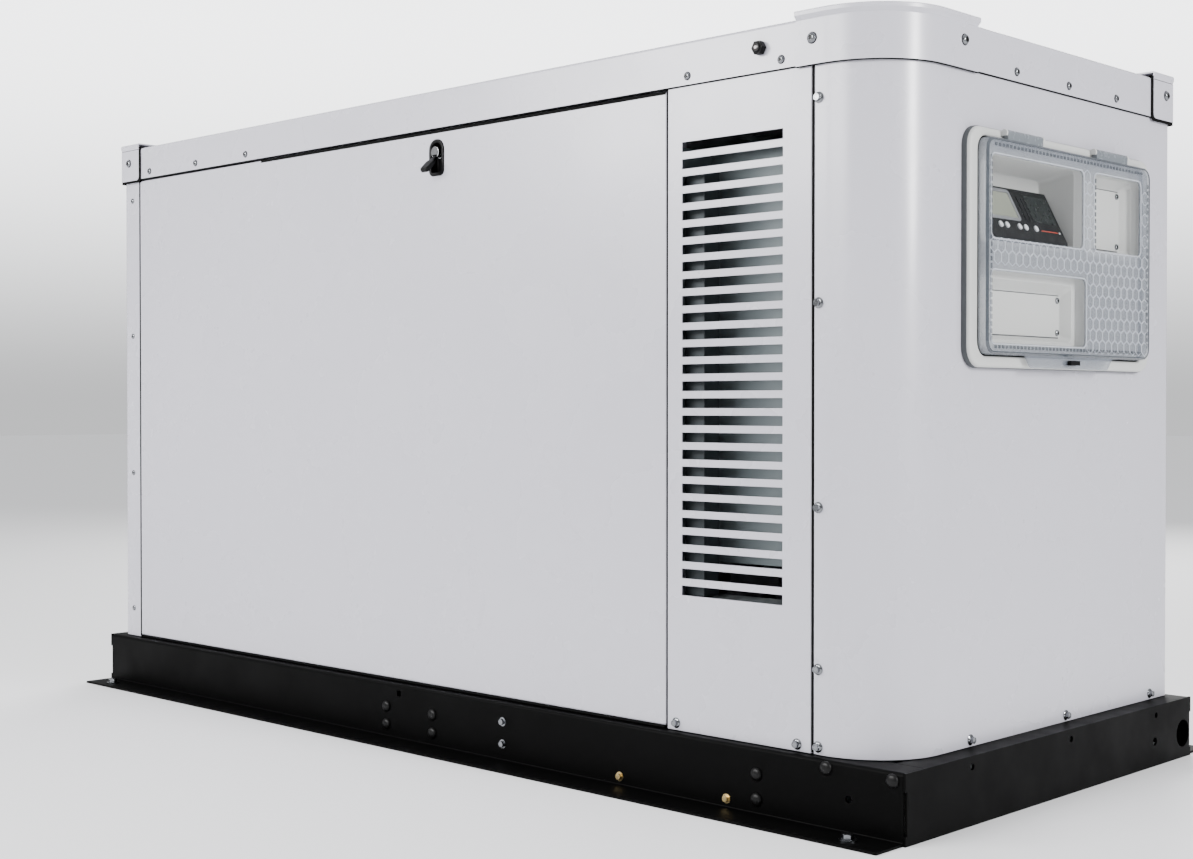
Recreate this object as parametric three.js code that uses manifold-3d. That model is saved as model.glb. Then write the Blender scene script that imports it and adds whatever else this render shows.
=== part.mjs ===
// Home standby generator: an engine, radiator and alternator on a steel base, inside a painted sheet-steel
// enclosure with a lift-off door and an intake louvre on each long side and a control window in the right end.
// Millimetres. +X runs along the length to the control end, -Y faces the front door, +Z is up.
// The origin is on the ground, at the middle of the base.

import * as THREE from "three";
import { mergeVertices } from "three/addons/utils/BufferGeometryUtils.js";
import Module from "manifold-3d";

const wasm = await Module();
wasm.setup();

// ---- Driving dimensions ----

const gap = 0.4; // between pieces that touch
const sheet = 2; // enclosure sheet steel
const plate = 4; // base steel

const body = { x: 990, y: 413, bottom: 101, top: 1120, corner: 115, bend: 12, wrap: 62 };
const base = { x: 1024, y: 429, top: 99.5, flange: 62, topFlange: 49 };
const roof = { x: 993, y: 416, bottom: 1078, top: 1144, corner: 118, crown: 7 };
const cap = { proud: 3, bottom: 1076, top: 1154, wall: 3, topThickness: 4 };

const door = { left: -926.5, right: 578.5, bottom: 105, top: 1074, depth: 30 };
const seam = { left: -928, centre: 580, control: 855 };
const louvre = { slots: 27, pitch: 25.8, height: 14.7, width: 192, top: 993, return: 15 };
const seal = { radius: 2.4, y: 410.2, z: 102.4 };
const latch = { x: 43, z: 1027, width: 31, height: 56, depth: 13, hub: 10, hubZ: 1036 };
const lever = { blade: 4.6, paddle: 9 }; // half widths

const bezel = { y: [-241, 312], z: [650, 998], front: 1004, corner: 30, recess: 6, back: 934, shallowBack: 966 };
const lid = { y: [-217, 286], z: [669, 983], front: 1018, wall: 3, corner: 20 };
const lidHinge = { x: 1009.6, z: 993, pin: 2.5, barrel: 4.9, lugs: [[-154, -54], [112, 213]], ear: 9 };
const fastener = { at: [28, 660], radius: 4 }; // the lid's, in y and z
const pockets = {
  controller: { y: [-189, 69], z: [836, 962], back: 938, draft: [4, 4, 3, 12] },
  upper: { y: [124, 262], z: [836, 962], back: 980, draft: [6, 16, 8, 16] },
  lower: { y: [-188, 66], z: [690, 786], back: 980, draft: [6, 12, 8, 18] },
};
const consoleY = [-174, 54];
const face = { bottom: [996, 846], top: [955, 926] }; // the controller's sloping face, x and z
const buttonSpots = { menu_left: -129, menu_right: -111, select_down: -75, select_up: -57, enter: -27 };
const button = { radius: 5, proud: 2.2, length: 4, along: 20 };

const crank = { y: 0, z: 330 };
const fan = { y: 0, z: 500, radius: 205, blades: 8, x: [-778, -736] };
const radiator = { x: [-905, -845], y: 300, z: [190, 810] };
const engine = { x: [-590, -70], y: 130, z: [170, 560] };
const alternator = { x: [0, 420], radius: 165, wall: 12 };

// ---- Materials ----

function paint(color, roughness, metalness = 0) {
  return new THREE.MeshStandardMaterial({ color, roughness, metalness });
}

const bodyPaint = paint(0xc9cacd, 0.45, 0.1);
const basePaint = paint(0x151516, 0.5, 0.1);
const galvanised = paint(0x8c9496, 0.45, 0.8);
const greyPlastic = paint(0xbfc1bf, 0.55);
const blackPlastic = paint(0x17181b, 0.4);
const clearPlastic = paint(0xe8ecef, 0.1);
clearPlastic.transparent = true;
clearPlastic.opacity = 0.35;
const displayGlass = paint(0x8b8f86, 0.2);
const buttonPlastic = paint(0xb9bcbe, 0.4);
const chrome = paint(0xc8cacc, 0.15, 1);
const rubber = paint(0x121212, 0.85);
const castIron = paint(0x4c5052, 0.6, 0.6);
const castAluminium = paint(0x9a9d9f, 0.45, 0.9);
const muffledSteel = paint(0x8a8580, 0.5, 0.9);
const radiatorBlack = paint(0x1c1d1f, 0.6, 0.4);

// ---- Solids ----

function toSolid(geometry) {
  const plain = geometry.index ? geometry.toNonIndexed() : geometry;
  plain.deleteAttribute("normal");
  plain.deleteAttribute("uv");
  const merged = mergeVertices(plain, 1e-4);
  const mesh = new wasm.Mesh({
    numProp: 3,
    vertProperties: merged.attributes.position.array,
    triVerts: new Uint32Array(merged.index.array),
  });
  return new wasm.Manifold(mesh);
}

function toGeometry(solid) {
  const mesh = solid.getMesh();
  const positions = new Float32Array(mesh.numVert * 3);
  for (let i = 0; i < mesh.numVert; i++) {
    const at = i * mesh.numProp;
    positions.set(mesh.vertProperties.subarray(at, at + 3), i * 3);
  }
  const geometry = new THREE.BufferGeometry();
  geometry.setAttribute("position", new THREE.BufferAttribute(positions, 3));
  geometry.setIndex(new THREE.BufferAttribute(mesh.triVerts, 1));
  return geometry;
}

// A box between two values on each axis.
function block([x0, x1], [y0, y1], [z0, z1]) {
  const box = new THREE.BoxGeometry(x1 - x0, y1 - y0, z1 - z0);
  box.translate((x0 + x1) / 2, (y0 + y1) / 2, (z0 + z1) / 2);
  return toSolid(box);
}

// The bases that lay an outline drawn in two axes out along the third.
const [alongX, alongY, alongZ] = [[1, 0, 0], [0, 1, 0], [0, 0, 1]].map((v) => new THREE.Vector3(...v));
const layouts = {
  x: new THREE.Matrix4().makeBasis(alongY, alongZ, alongX),
  y: new THREE.Matrix4().makeBasis(alongZ, alongX, alongY),
  z: new THREE.Matrix4(),
};

// An outline extruded along an axis: it is drawn in (y, z) for x, (z, x) for y and (x, y) for z.
function extrude(outline, axis, [from, to], curveSegments = 12) {
  const isList = Array.isArray(outline);
  const shape = isList ? new THREE.Shape(outline.map((p) => new THREE.Vector2(...p))) : outline;
  const made = new THREE.ExtrudeGeometry(shape, { depth: to - from, bevelEnabled: false, curveSegments });
  made.translate(0, 0, from);
  made.applyMatrix4(layouts[axis]);
  return toSolid(made);
}

// A round bar along an axis, centred on the two other coordinates in that layout's order.
function rod(axis, range, [a, b], radius, sides = 24) {
  const circle = [];
  for (let i = 0; i < sides; i++) {
    const angle = (2 * Math.PI * (i + 0.5)) / sides;
    circle.push([a + radius * Math.cos(angle), b + radius * Math.sin(angle)]);
  }
  return extrude(circle, axis, range);
}

// A rectangle with rounded corners, as a shape.
function roundedRectangle([a0, a1], [b0, b1], radius) {
  const shape = new THREE.Shape();
  shape.moveTo(a0 + radius, b0);
  shape.lineTo(a1 - radius, b0);
  shape.absarc(a1 - radius, b0 + radius, radius, -Math.PI / 2, 0, false);
  shape.lineTo(a1, b1 - radius);
  shape.absarc(a1 - radius, b1 - radius, radius, 0, Math.PI / 2, false);
  shape.lineTo(a0 + radius, b1);
  shape.absarc(a0 + radius, b1 - radius, radius, Math.PI / 2, Math.PI, false);
  shape.lineTo(a0, b0 + radius);
  shape.absarc(a0 + radius, b0 + radius, radius, Math.PI, 1.5 * Math.PI, false);
  return shape;
}

// A block whose back face, at x0, is smaller than its front. The drafts are at low y, high y, low z and high z.
function draftedPocket([x0, x1], [y0, y1], [z0, z1], draft) {
  const box = new THREE.BoxGeometry(1, 1, 1);
  const at = box.attributes.position;
  for (let i = 0; i < at.count; i++) {
    const back = at.getX(i) < 0 ? 1 : 0;
    const y = at.getY(i) < 0 ? y0 + back * draft[0] : y1 - back * draft[1];
    const z = at.getZ(i) < 0 ? z0 + back * draft[2] : z1 - back * draft[3];
    at.setXYZ(i, back ? x0 : x1, y, z);
  }
  return toSolid(box);
}

const join = (...solids) => solids.reduce((sum, s) => sum.add(s));
const cut = (solid, ...tools) => tools.reduce((left, t) => left.subtract(t), solid);
const mirrorY = (solid) => solid.mirror([0, 1, 0]);
const grow = ([low, high], by) => [low - by, high + by];

const generator = new THREE.Group();

function addPiece(name, solid, material, parent = generator) {
  const mesh = new THREE.Mesh(toGeometry(solid), material);
  mesh.name = name;
  parent.add(mesh);
  return mesh;
}

// ---- Base ----

const baseInner = base.y - plate;
const floorTop = 13.5;

function baseRail() {
  const railEnd = base.x - plate - gap;
  const section = [
    [-base.y - base.flange, 0],
    [-baseInner, 0],
    [-baseInner, base.top - plate],
    [-base.y + base.topFlange, base.top - plate],
    [-base.y + base.topFlange, base.top],
    [-base.y, base.top],
    [-base.y, plate],
    [-base.y - base.flange, plate],
  ];
  return extrude(section, "x", [-railEnd, railEnd]);
}

// An end channel closes the rails' ends. Its sides are relieved, and holes take cables, a pipe and screws.
function baseEnd() {
  const flangeY = base.y - base.topFlange - gap;
  const flangeX = [base.x - base.topFlange, base.x - plate / 2];
  const web = block([base.x - plate, base.x], [-base.y, base.y], [0, base.top]);
  const topFlange = block(flangeX, [-flangeY, flangeY], [base.top - plate, base.top]);
  const through = [base.x - 9, base.x + 9];
  const cableHole = rod("x", through, [400, 41], 23);
  const pipeHole = rod("x", through, [298, 41], 7, 12);
  const screwHoles = [-262, 20, 302].map((y) => rod("x", through, [y, 84], 5, 12));
  const relief = { depth: 4, z: [14, 74] };
  const nearSide = block(through, grow([base.y, base.y], relief.depth), relief.z);
  return cut(join(web, topFlange), cableHole, pipeHole, ...screwHoles, nearSide, mirrorY(nearSide));
}

// A hat-section beam between the rails, just over the floor pan, which carries the engine or the alternator.
function crossmember(centreX, height) {
  const half = { foot: 85, top: 45 };
  const floor = 14;
  const hat = [
    [centreX - half.foot, floor],
    [centreX + half.foot, floor],
    [centreX + half.foot, floor + plate],
    [centreX + half.top, floor + plate],
    [centreX + half.top, height],
    [centreX - half.top, height],
    [centreX - half.top, floor + plate],
    [centreX - half.foot, floor + plate],
  ];
  const span = [-baseInner + gap, baseInner - gap];
  const beam = extrude(hat.map(([x, z]) => [z, x]).reverse(), "y", span);
  const insideX = grow([centreX, centreX], half.top - plate);
  return cut(beam, block(insideX, grow(span, 1), [floor - 1, height - plate]));
}

addPiece("base_rail_front", baseRail(), basePaint);
addPiece("base_rail_rear", mirrorY(baseRail()), basePaint);
addPiece("base_end_control", baseEnd(), basePaint);
addPiece("base_end_exhaust", baseEnd().mirror([1, 0, 0]), basePaint);
const floorHalf = { x: base.x - plate - 2 * gap, y: baseInner - gap };
const pan = block([-floorHalf.x, floorHalf.x], [-floorHalf.y, floorHalf.y], [floorTop - 2.5, floorTop]);
addPiece("floor_pan", pan, galvanised);
const crossmemberTop = base.top - plate - 2;
addPiece("crossmember_engine", crossmember(-470, crossmemberTop), basePaint);
addPiece("crossmember_alternator", crossmember(-20, crossmemberTop), basePaint);

// ---- Posts: folded angles behind the panel joints ----

const postFoot = base.top + gap;
const postHead = roof.top - sheet - gap;
const postLeg = 40;
const postSkin = body.y - sheet - gap; // the plane just inside the panels

function cornerPost(sideX, sideY) {
  const skinX = body.x - sheet - gap - body.bend;
  const skinY = postSkin - body.bend;
  const angle = [
    [skinX, skinY],
    [skinX - postLeg, skinY],
    [skinX - postLeg, skinY - sheet],
    [skinX - sheet, skinY - sheet],
    [skinX - sheet, skinY - postLeg],
    [skinX, skinY - postLeg],
  ].map(([x, y]) => [sideX * x, sideY * y]);
  return extrude(sideX * sideY > 0 ? angle : angle.reverse(), "z", [postFoot, postHead]);
}

// A top-hat post behind a joint between two panels on the front, set back clear of their returns.
function jointPost(centreX) {
  const face = -(body.y - door.depth - gap);
  const half = { flange: 34, crown: 18 };
  const back = face + 28;
  const hat = [
    [centreX - half.flange, face],
    [centreX + half.flange, face],
    [centreX + half.flange, face + sheet],
    [centreX + half.crown, face + sheet],
    [centreX + half.crown, back],
    [centreX - half.crown, back],
    [centreX - half.crown, face + sheet],
    [centreX - half.flange, face + sheet],
  ];
  return extrude(hat, "z", [postFoot, postHead]);
}

addPiece("post_front_left", cornerPost(-1, -1), bodyPaint);
addPiece("post_rear_left", cornerPost(-1, 1), bodyPaint);
addPiece("post_rear_right", cornerPost(1, 1), bodyPaint);
addPiece("post_front_centre", jointPost(seam.centre - 30), bodyPaint);
addPiece("post_rear_centre", mirrorY(jointPost(seam.centre - 30)), bodyPaint);

// ---- End panels ----

// The control end panel runs from its joint with the front louvre panel, round the large corner, along the end and
// round the rear corner.
function controlEndPanel() {
  const { x, y, corner, bend, wrap } = body;
  const start = seam.control + 1.5;
  const end = x - wrap + 1;
  const outline = new THREE.Shape();
  outline.moveTo(start, -y);
  outline.lineTo(x - corner, -y);
  outline.absarc(x - corner, -y + corner, corner, -Math.PI / 2, 0, false);
  outline.lineTo(x, y - bend);
  outline.absarc(x - bend, y - bend, bend, 0, Math.PI / 2, false);
  outline.lineTo(end, y);
  outline.lineTo(end, y - sheet);
  outline.lineTo(x - bend, y - sheet);
  outline.absarc(x - bend, y - bend, bend - sheet, Math.PI / 2, 0, true);
  outline.lineTo(x - sheet, -y + corner);
  outline.absarc(x - corner, -y + corner, corner - sheet, 0, -Math.PI / 2, true);
  outline.lineTo(start + sheet, -y + sheet);
  outline.lineTo(start + sheet, -y + louvre.return);
  outline.lineTo(start, -y + louvre.return);
  const wall = extrude(outline, "z", [body.bottom, body.top], 14);
  const opening = block([x - 9, x + 9], [-212, 282], [676, 974]);
  return cut(wall, opening);
}

// A panel across the exhaust end, with two columns of discharge slots, that wraps both corners.
function exhaustEndPanel() {
  const { x, y, bend, wrap } = body;
  const end = x - wrap + 1;
  const outline = new THREE.Shape();
  outline.moveTo(-end, -y);
  outline.lineTo(-end, -y + sheet);
  outline.lineTo(-x + bend, -y + sheet);
  outline.absarc(-x + bend, -y + bend, bend - sheet, -Math.PI / 2, -Math.PI, true);
  outline.lineTo(-x + sheet, y - bend);
  outline.absarc(-x + bend, y - bend, bend - sheet, Math.PI, Math.PI / 2, true);
  outline.lineTo(-end, y - sheet);
  outline.lineTo(-end, y);
  outline.lineTo(-x + bend, y);
  outline.absarc(-x + bend, y - bend, bend, Math.PI / 2, Math.PI, false);
  outline.lineTo(-x, -y + bend);
  outline.absarc(-x + bend, -y + bend, bend, Math.PI, 1.5 * Math.PI, false);
  const wall = extrude(outline, "z", [body.bottom, body.top], 4);
  const rows = 24;
  const slots = [];
  for (let row = 0; row < rows; row++) {
    const top = 840 - row * louvre.pitch;
    for (const columnY of [-285, 15]) {
      slots.push(block([-x - 9, -x + 9], [columnY, columnY + 270], [top - louvre.height, top]));
    }
  }
  return cut(wall, ...slots);
}

addPiece("end_panel_control", controlEndPanel(), bodyPaint);
addPiece("end_panel_exhaust", exhaustEndPanel(), bodyPaint);

// ---- Louvre panels and intake ducts ----

function louvrePanel(x0, x1, slotX) {
  const skin = block([x0, x1], [-body.y, -body.y + sheet], [body.bottom, body.top]);
  const returns = [
    block([x0, x0 + sheet], [-body.y, -body.y + louvre.return], [body.bottom, body.top]),
    block([x1 - sheet, x1], [-body.y, -body.y + louvre.return], [body.bottom, body.top]),
  ];
  const slots = [];
  for (let i = 0; i < louvre.slots; i++) {
    const top = louvre.top - i * louvre.pitch;
    slots.push(block([slotX, slotX + louvre.width], [-body.y - 9, -body.y + 9], [top - louvre.height, top]));
  }
  return cut(join(skin, ...returns), ...slots);
}

// Three folded walls behind the louvre: air turns down past the back wall's lower edge.
function intakeDuct(x0, x1) {
  const front = -body.y + louvre.return + 1;
  const back = -body.y + 95;
  const z = [352, 990];
  const walls = block([x0, x1], [front, back], z);
  return cut(walls, block([x0 + sheet, x1 - sheet], [front - 1, back - sheet], grow(z, 1)));
}

const slotLeft = 610;
addPiece("louvre_panel_front", louvrePanel(seam.centre, seam.control - 0.5, slotLeft), bodyPaint);
const rearLouvre = mirrorY(louvrePanel(seam.centre, body.x - body.wrap, slotLeft + 35));
addPiece("louvre_panel_rear", rearLouvre, bodyPaint);
addPiece("intake_duct_front", intakeDuct(seam.centre + 10, seam.control - 4), galvanised);
addPiece("intake_duct_rear", mirrorY(intakeDuct(seam.centre + 45, seam.control + 30)), galvanised);

// ---- Roof and its corner caps ----

// A rectangle whose front right corner is round, as the roof and the cap over that corner are.
function roofOutline(halfX, halfY, corner) {
  const outline = new THREE.Shape();
  outline.moveTo(-halfX, -halfY);
  outline.lineTo(halfX - corner, -halfY);
  outline.absarc(halfX - corner, -halfY + corner, corner, -Math.PI / 2, 0, false);
  outline.lineTo(halfX, halfY);
  outline.lineTo(-halfX, halfY);
  return outline;
}

function roofPanel() {
  const { x, y, corner, bottom, top, crown } = roof;
  const shell = extrude(roofOutline(x, y, corner), "z", [bottom, top]);
  const inside = extrude(roofOutline(x - sheet, y - sheet, corner - sheet), "z", [bottom - 1, top - sheet]);
  const field = new THREE.BoxGeometry(1, 1, 1);
  const at = field.attributes.position;
  const margin = { low: 150, high: 220 };
  for (let i = 0; i < at.count; i++) {
    const high = at.getZ(i) > 0;
    const inset = high ? margin.high : margin.low;
    const z = high ? top + crown : top - sheet / 2;
    at.setXYZ(i, Math.sign(at.getX(i)) * (x - inset), Math.sign(at.getY(i)) * (y - inset), z);
  }
  return join(cut(shell, inside), toSolid(field));
}

// A cap over one roof corner: the part of a slightly larger roof outline that lies past two planes.
function cornerCap(sideX, sideY, reachX, reachY) {
  const { proud, wall, bottom, top, topThickness } = cap;
  const x = roof.x + proud;
  const y = roof.y + proud;
  const corner = roof.corner + proud;
  const outer = extrude(roofOutline(x, y, corner), "z", [bottom, top]);
  const lip = wall - gap;
  const inner = extrude(roofOutline(x - lip, y - lip, corner - lip), "z", [bottom - 1, top - topThickness]);
  const xs = [sideX * (x + 1), sideX * (x - reachX)].sort((a, b) => a - b);
  const ys = [sideY * (y + 1), sideY * (y - reachY)].sort((a, b) => a - b);
  return cut(outer, inner).intersect(block(xs, ys, [bottom - 1, top + 1]));
}

addPiece("roof_panel", roofPanel(), bodyPaint);
addPiece("corner_cap_front_right", cornerCap(1, -1, 167, 213), bodyPaint);
addPiece("corner_cap_rear_right", cornerCap(1, 1, 74, 78), bodyPaint);
addPiece("corner_cap_front_left", cornerCap(-1, -1, 74, 78), bodyPaint);
addPiece("corner_cap_rear_left", cornerCap(-1, 1, 74, 78), bodyPaint);

// A black hexagonal fitting in the front roof skirt, which carries the status lamp.
function statusLight() {
  const at = { x: 764, z: 1112 };
  const hex = rod("y", [-roof.y - 10, -roof.y - gap], [at.z, at.x], 11, 6);
  const lens = rod("y", [-roof.y - 13, -roof.y - 9], [at.z, at.x], 7, 16);
  return join(hex, lens);
}
addPiece("status_light", statusLight(), blackPlastic);

// ---- Lift-off doors ----

const latchHole = {
  x: grow([latch.x, latch.x], latch.width / 2),
  z: grow([latch.z, latch.z], latch.height / 2),
};

// The front door is a tray: a skin with four returns, and a hole for its latch cup.
function doorTray() {
  const outside = block([door.left, door.right], [-body.y, -body.y + door.depth], [door.bottom, door.top]);
  const inside = block(
    [door.left + sheet, door.right - sheet],
    [-body.y + sheet, -body.y + door.depth + 1],
    [door.bottom + sheet, door.top - sheet],
  );
  return cut(outside, inside, block(latchHole.x, [-body.y - 9, -body.y + 9], latchHole.z));
}

// The cup is let into the door, with a rim on its skin. The hub turns in its floor.
function latchCup() {
  const skin = -body.y;
  const rimOutline = roundedRectangle(grow(latchHole.z, 4), grow(latchHole.x, 4), 18);
  const rim = extrude(rimOutline, "y", [skin - 2.5, skin - gap], 6);
  const pocketX = grow(latchHole.x, -gap);
  const pocketZ = grow(latchHole.z, -gap);
  const tub = block(pocketX, [skin - 2, skin + latch.depth + sheet], pocketZ);
  const hollow = block(grow(pocketX, -2.5), [skin - 9, skin + latch.depth], grow(pocketZ, -2.5));
  const bore = rod("y", [skin, skin + 30], [latch.hubZ, latch.x], latch.hub + gap);
  return cut(join(rim, tub), hollow, bore);
}

// The hub: a lock cylinder in front, forked for the lever, and a cam behind the door that points up when shut.
function latchHub() {
  const skin = -body.y;
  const cylinder = rod("y", [skin - 5, skin + 36], [latch.hubZ, latch.x], latch.hub);
  const cam = block([latch.x - 9, latch.x + 9], [skin + 31, skin + 36], [latch.hubZ - 4, latch.hubZ + 35]);
  const forkX = [latch.x - lever.blade - 0.6, latch.x + lever.blade + 0.6];
  const forkGap = block(forkX, [skin - 6, skin + 6], [latch.hubZ - 16, latch.hubZ - 5]);
  return cut(join(cylinder, cam), forkGap);
}

const leverTilt = THREE.MathUtils.degToRad(45);
const leverPivot = { y: -body.y - 3.4, z: latch.hubZ - 8.5 };

// The lever hangs from the hub and stands out at its tip. Its root sits in the hub's fork.
function latchLever() {
  const bladeX = [-lever.blade, lever.blade];
  const root = rod("x", bladeX, [0, 0], 2.8, 12);
  const blade = extrude([[-3, -34], [3, -34], [2.8, 0], [-2.8, 0]], "x", bladeX);
  const paddle = extrude([[-3.4, -38], [4, -36], [3.4, -13], [-3, -13]], "x", [-lever.paddle, lever.paddle]);
  return join(root, blade, paddle);
}

function addLatch(suffix, side) {
  const place = (solid) => (side < 0 ? solid : mirrorY(solid));
  addPiece(`latch_cup_${suffix}`, place(latchCup()), blackPlastic);
  addPiece(`latch_hub_${suffix}`, place(latchHub()), chrome);
  const leverMesh = addPiece(`latch_lever_${suffix}`, place(latchLever()), blackPlastic);
  leverMesh.position.set(latch.x, -side * leverPivot.y, leverPivot.z);
  leverMesh.rotation.x = side * leverTilt;
}

function addDoor(suffix, side) {
  const place = (solid) => (side < 0 ? solid : mirrorY(solid));
  addPiece(`door_${suffix}`, place(doorTray()), bodyPaint);
  const bulb = rod("x", [door.left + 4, door.right - 4], [-seal.y, seal.z], seal.radius, 12);
  addPiece(`door_seal_${suffix}`, place(bulb), rubber);
  addLatch(suffix, side);
}

addDoor("front", -1);
addDoor("rear", 1);

// ---- Control window ----

// The moulded bezel: a raised rim round a recess, three pockets behind it, and hinge pins along its top.
function controlBezel() {
  const frontX = bezel.front;
  const panelX = frontX - bezel.recess;
  const rim = extrude(roundedRectangle(bezel.y, bezel.z, bezel.corner), "x", [body.x + gap, frontX], 8);
  const recessOutline = roundedRectangle(grow(lid.y, 2), grow(lid.z, 2), lid.corner + 2);
  const recess = extrude(recessOutline, "x", [panelX, frontX + 1], 6);
  const deepTub = block([bezel.back, body.x + 1], [-205, 85], [820, 968]);
  const tub = join(deepTub, block([bezel.shallowBack, body.x + 1], [-205, 275], [682, 968]));
  const openings = Object.values(pockets).map(({ y, z, back, draft }) => {
    return draftedPocket([back, frontX + 1], y, z, draft);
  });
  const frame = cut(join(rim, tub), recess, ...openings);
  const ears = lidHinge.lugs.flatMap(([low, high]) => {
    const z = [lidHinge.z - 4, lidHinge.z + 4];
    const x = [frontX - 1, lidHinge.x + 4];
    const pin = rod("y", [low - 5, high + 5], [lidHinge.z, lidHinge.x], lidHinge.pin, 12);
    const nearEar = block(x, [low - lidHinge.ear - gap, low - gap], z);
    return [nearEar, block(x, [high + gap, high + lidHinge.ear + gap], z), pin];
  });
  return join(frame, ...ears);
}

// The clear lid: a shallow tray with two hinge barrels along its top and a pull tab along its bottom.
function controlLid() {
  const backX = bezel.front - bezel.recess + gap;
  const { wall, corner } = lid;
  const insideOutline = roundedRectangle(grow(lid.y, -wall), grow(lid.z, -wall), corner - wall);
  const outside = extrude(roundedRectangle(lid.y, lid.z, corner), "x", [backX, lid.front], 6);
  const inside = extrude(insideOutline, "x", [backX - 1, lid.front - wall], 6);
  const arms = lidHinge.lugs.flatMap(([low, high]) => [
    rod("y", [low, high], [lidHinge.z, lidHinge.x], lidHinge.barrel, 16),
    block([lidHinge.x - 3, lidHinge.x + 4.5], [low, high], [lid.z[1] - wall, lidHinge.z]),
  ]);
  const bores = lidHinge.lugs.map((lug) => {
    return rod("y", grow(lug, 1), [lidHinge.z, lidHinge.x], lidHinge.pin + gap, 12);
  });
  const tab = extrude([[-106, 670], [-88, 651], [145, 651], [163, 670]], "x", [lid.front - 6, lid.front - 2]);
  const latchBore = rod("x", [lid.front - 9, lid.front + 1], fastener.at, fastener.radius + 0.5, 12);
  return cut(join(cut(outside, inside), ...arms, tab), ...bores, latchBore);
}

// A quarter-turn fastener through the tab, with a small wing.
function lidLatch() {
  const [y, z] = fastener.at;
  const stem = rod("x", [bezel.front + gap, lid.front + 6], fastener.at, fastener.radius, 12);
  const wing = block([lid.front + 0.6, lid.front + 6.5], grow([y, y], 14), grow([z, z], 3.5));
  return join(stem, wing);
}

addPiece("control_bezel", controlBezel(), greyPlastic);
addPiece("control_lid", controlLid(), clearPlastic);
addPiece("lid_latch", lidLatch(), blackPlastic);

// The controller's own frame: its origin is at the foot of the sloping face, +X out of the face and +Z up it.
const controllerFace = new THREE.Group();
controllerFace.position.set(face.bottom[0], 0, face.bottom[1]);
const faceLean = Math.atan2(face.bottom[0] - face.top[0], face.top[1] - face.bottom[1]);
controllerFace.rotation.y = -faceLean;
generator.add(controllerFace);
const faceLength = Math.hypot(face.bottom[0] - face.top[0], face.top[1] - face.bottom[1]);
const display = { y: [-158, -66], along: [36, 80] };

function controllerHousing() {
  const floor = pockets.controller.z[0] + pockets.controller.draft[2] + gap;
  const backX = pockets.controller.back + gap;
  const [footX, footZ] = face.bottom;
  const [topX, topZ] = face.top;
  const section = [[floor, backX], [floor, footX], [footZ, footX], [topZ, topX], [topZ, backX]];
  const wedge = extrude(section.reverse(), "y", [consoleY[0] + gap, consoleY[1]]);
  controllerFace.updateMatrix();
  const faceFrame = controllerFace.matrix.toArray();
  const recesses = Object.values(buttonSpots).map((y) => {
    return rod("x", [-5, 9], [y, button.along], button.radius + gap, 16);
  });
  recesses.push(block([-3, 9], grow(display.y, gap), grow(display.along, gap)));
  return cut(wedge, ...recesses.map((r) => r.transform(faceFrame)));
}

addPiece("controller_housing", controllerHousing(), blackPlastic);
const screen = block([-3 + gap, 0.5], display.y, display.along);
addPiece("controller_display", screen, displayGlass, controllerFace);
for (const [name, y] of Object.entries(buttonSpots)) {
  const cap = rod("x", [button.proud - button.length, button.proud], [y, button.along], button.radius, 16);
  addPiece(`button_${name}`, cap, buttonPlastic, controllerFace);
}

// A flat cover screwed over the floor of a pocket.
function pocketCover({ y, z, back, draft }) {
  const rows = [z[0] + draft[2] + 3, z[1] - draft[3] - 3];
  return block([back + gap, back + gap + sheet], [y[0] + draft[0] + 3, y[1] - draft[1] - 3], rows);
}
addPiece("breaker_cover_upper", pocketCover(pockets.upper), greyPlastic);
addPiece("breaker_cover_lower", pocketCover(pockets.lower), greyPlastic);

// ---- Engine, alternator and exhaust ----

// The block and sump, with feet on the front crossmember and a flywheel housing at the alternator end.
function engineBlock() {
  const [x0, x1] = engine.x;
  const crankcase = block([x0, x1], [-engine.y, engine.y], [engine.z[0] + 60, engine.z[1]]);
  const sump = block([x0 + 20, x1 - 60], [-engine.y + 30, engine.y - 30], [engine.z[0] - 40, engine.z[0] + 70]);
  const timingCover = block([x0 - 14, x0 + 2], [-95, 95], [engine.z[0] + 70, engine.z[1] - 30]);
  const flywheelHousing = rod("x", [x1 - 2, -gap], [crank.y, crank.z], 175, 28);
  const mountLegs = [-1, 1].flatMap((side) => [
    block([-500, -440], side > 0 ? [100, 210] : [-210, -100], [300, 330]),
    block([-490, -450], side > 0 ? [175, 210] : [-210, -175], [crossmemberTop + gap, 305]),
  ]);
  const housingFeet = [-1, 1].map((side) => {
    const y = side > 0 ? [110, 165] : [-165, -110];
    return block([-50, -8], y, [crossmemberTop + gap, 230]);
  });
  const nose = rod("x", [x0 - 30, x0 - 10], [crank.y, crank.z], 22, 16);
  const waterPump = join(
    rod("x", [x0 - 26, x0 + 2], [fan.y, fan.z], 55, 20),
    rod("x", [x0 - 60, x0 - 20], [fan.y, fan.z], 20, 16),
  );
  return join(crankcase, sump, timingCover, flywheelHousing, ...mountLegs, ...housingFeet, nose, waterPump);
}

// The head and its rocker cover, with four plug wells.
function cylinderHead() {
  const [x0, x1] = engine.x;
  const deck = engine.z[1] + gap;
  const head = block([x0 + 6, x1 - 40], [-105, 105], [deck, deck + 95]);
  const coverOutline = [[-92, deck + 94], [92, deck + 94], [74, deck + 150], [-74, deck + 150]];
  const cover = extrude(coverOutline, "x", [x0 + 16, x1 - 50]);
  const wells = [0, 1, 2, 3].map((i) => rod("z", [deck + 120, deck + 160], [x0 + 90 + i * 100, 0], 16, 12));
  const fillerCap = rod("z", [deck + 149, deck + 168], [x0 + 40, -40], 20, 16);
  return join(cut(join(head, cover), ...wells), fillerCap);
}

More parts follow.
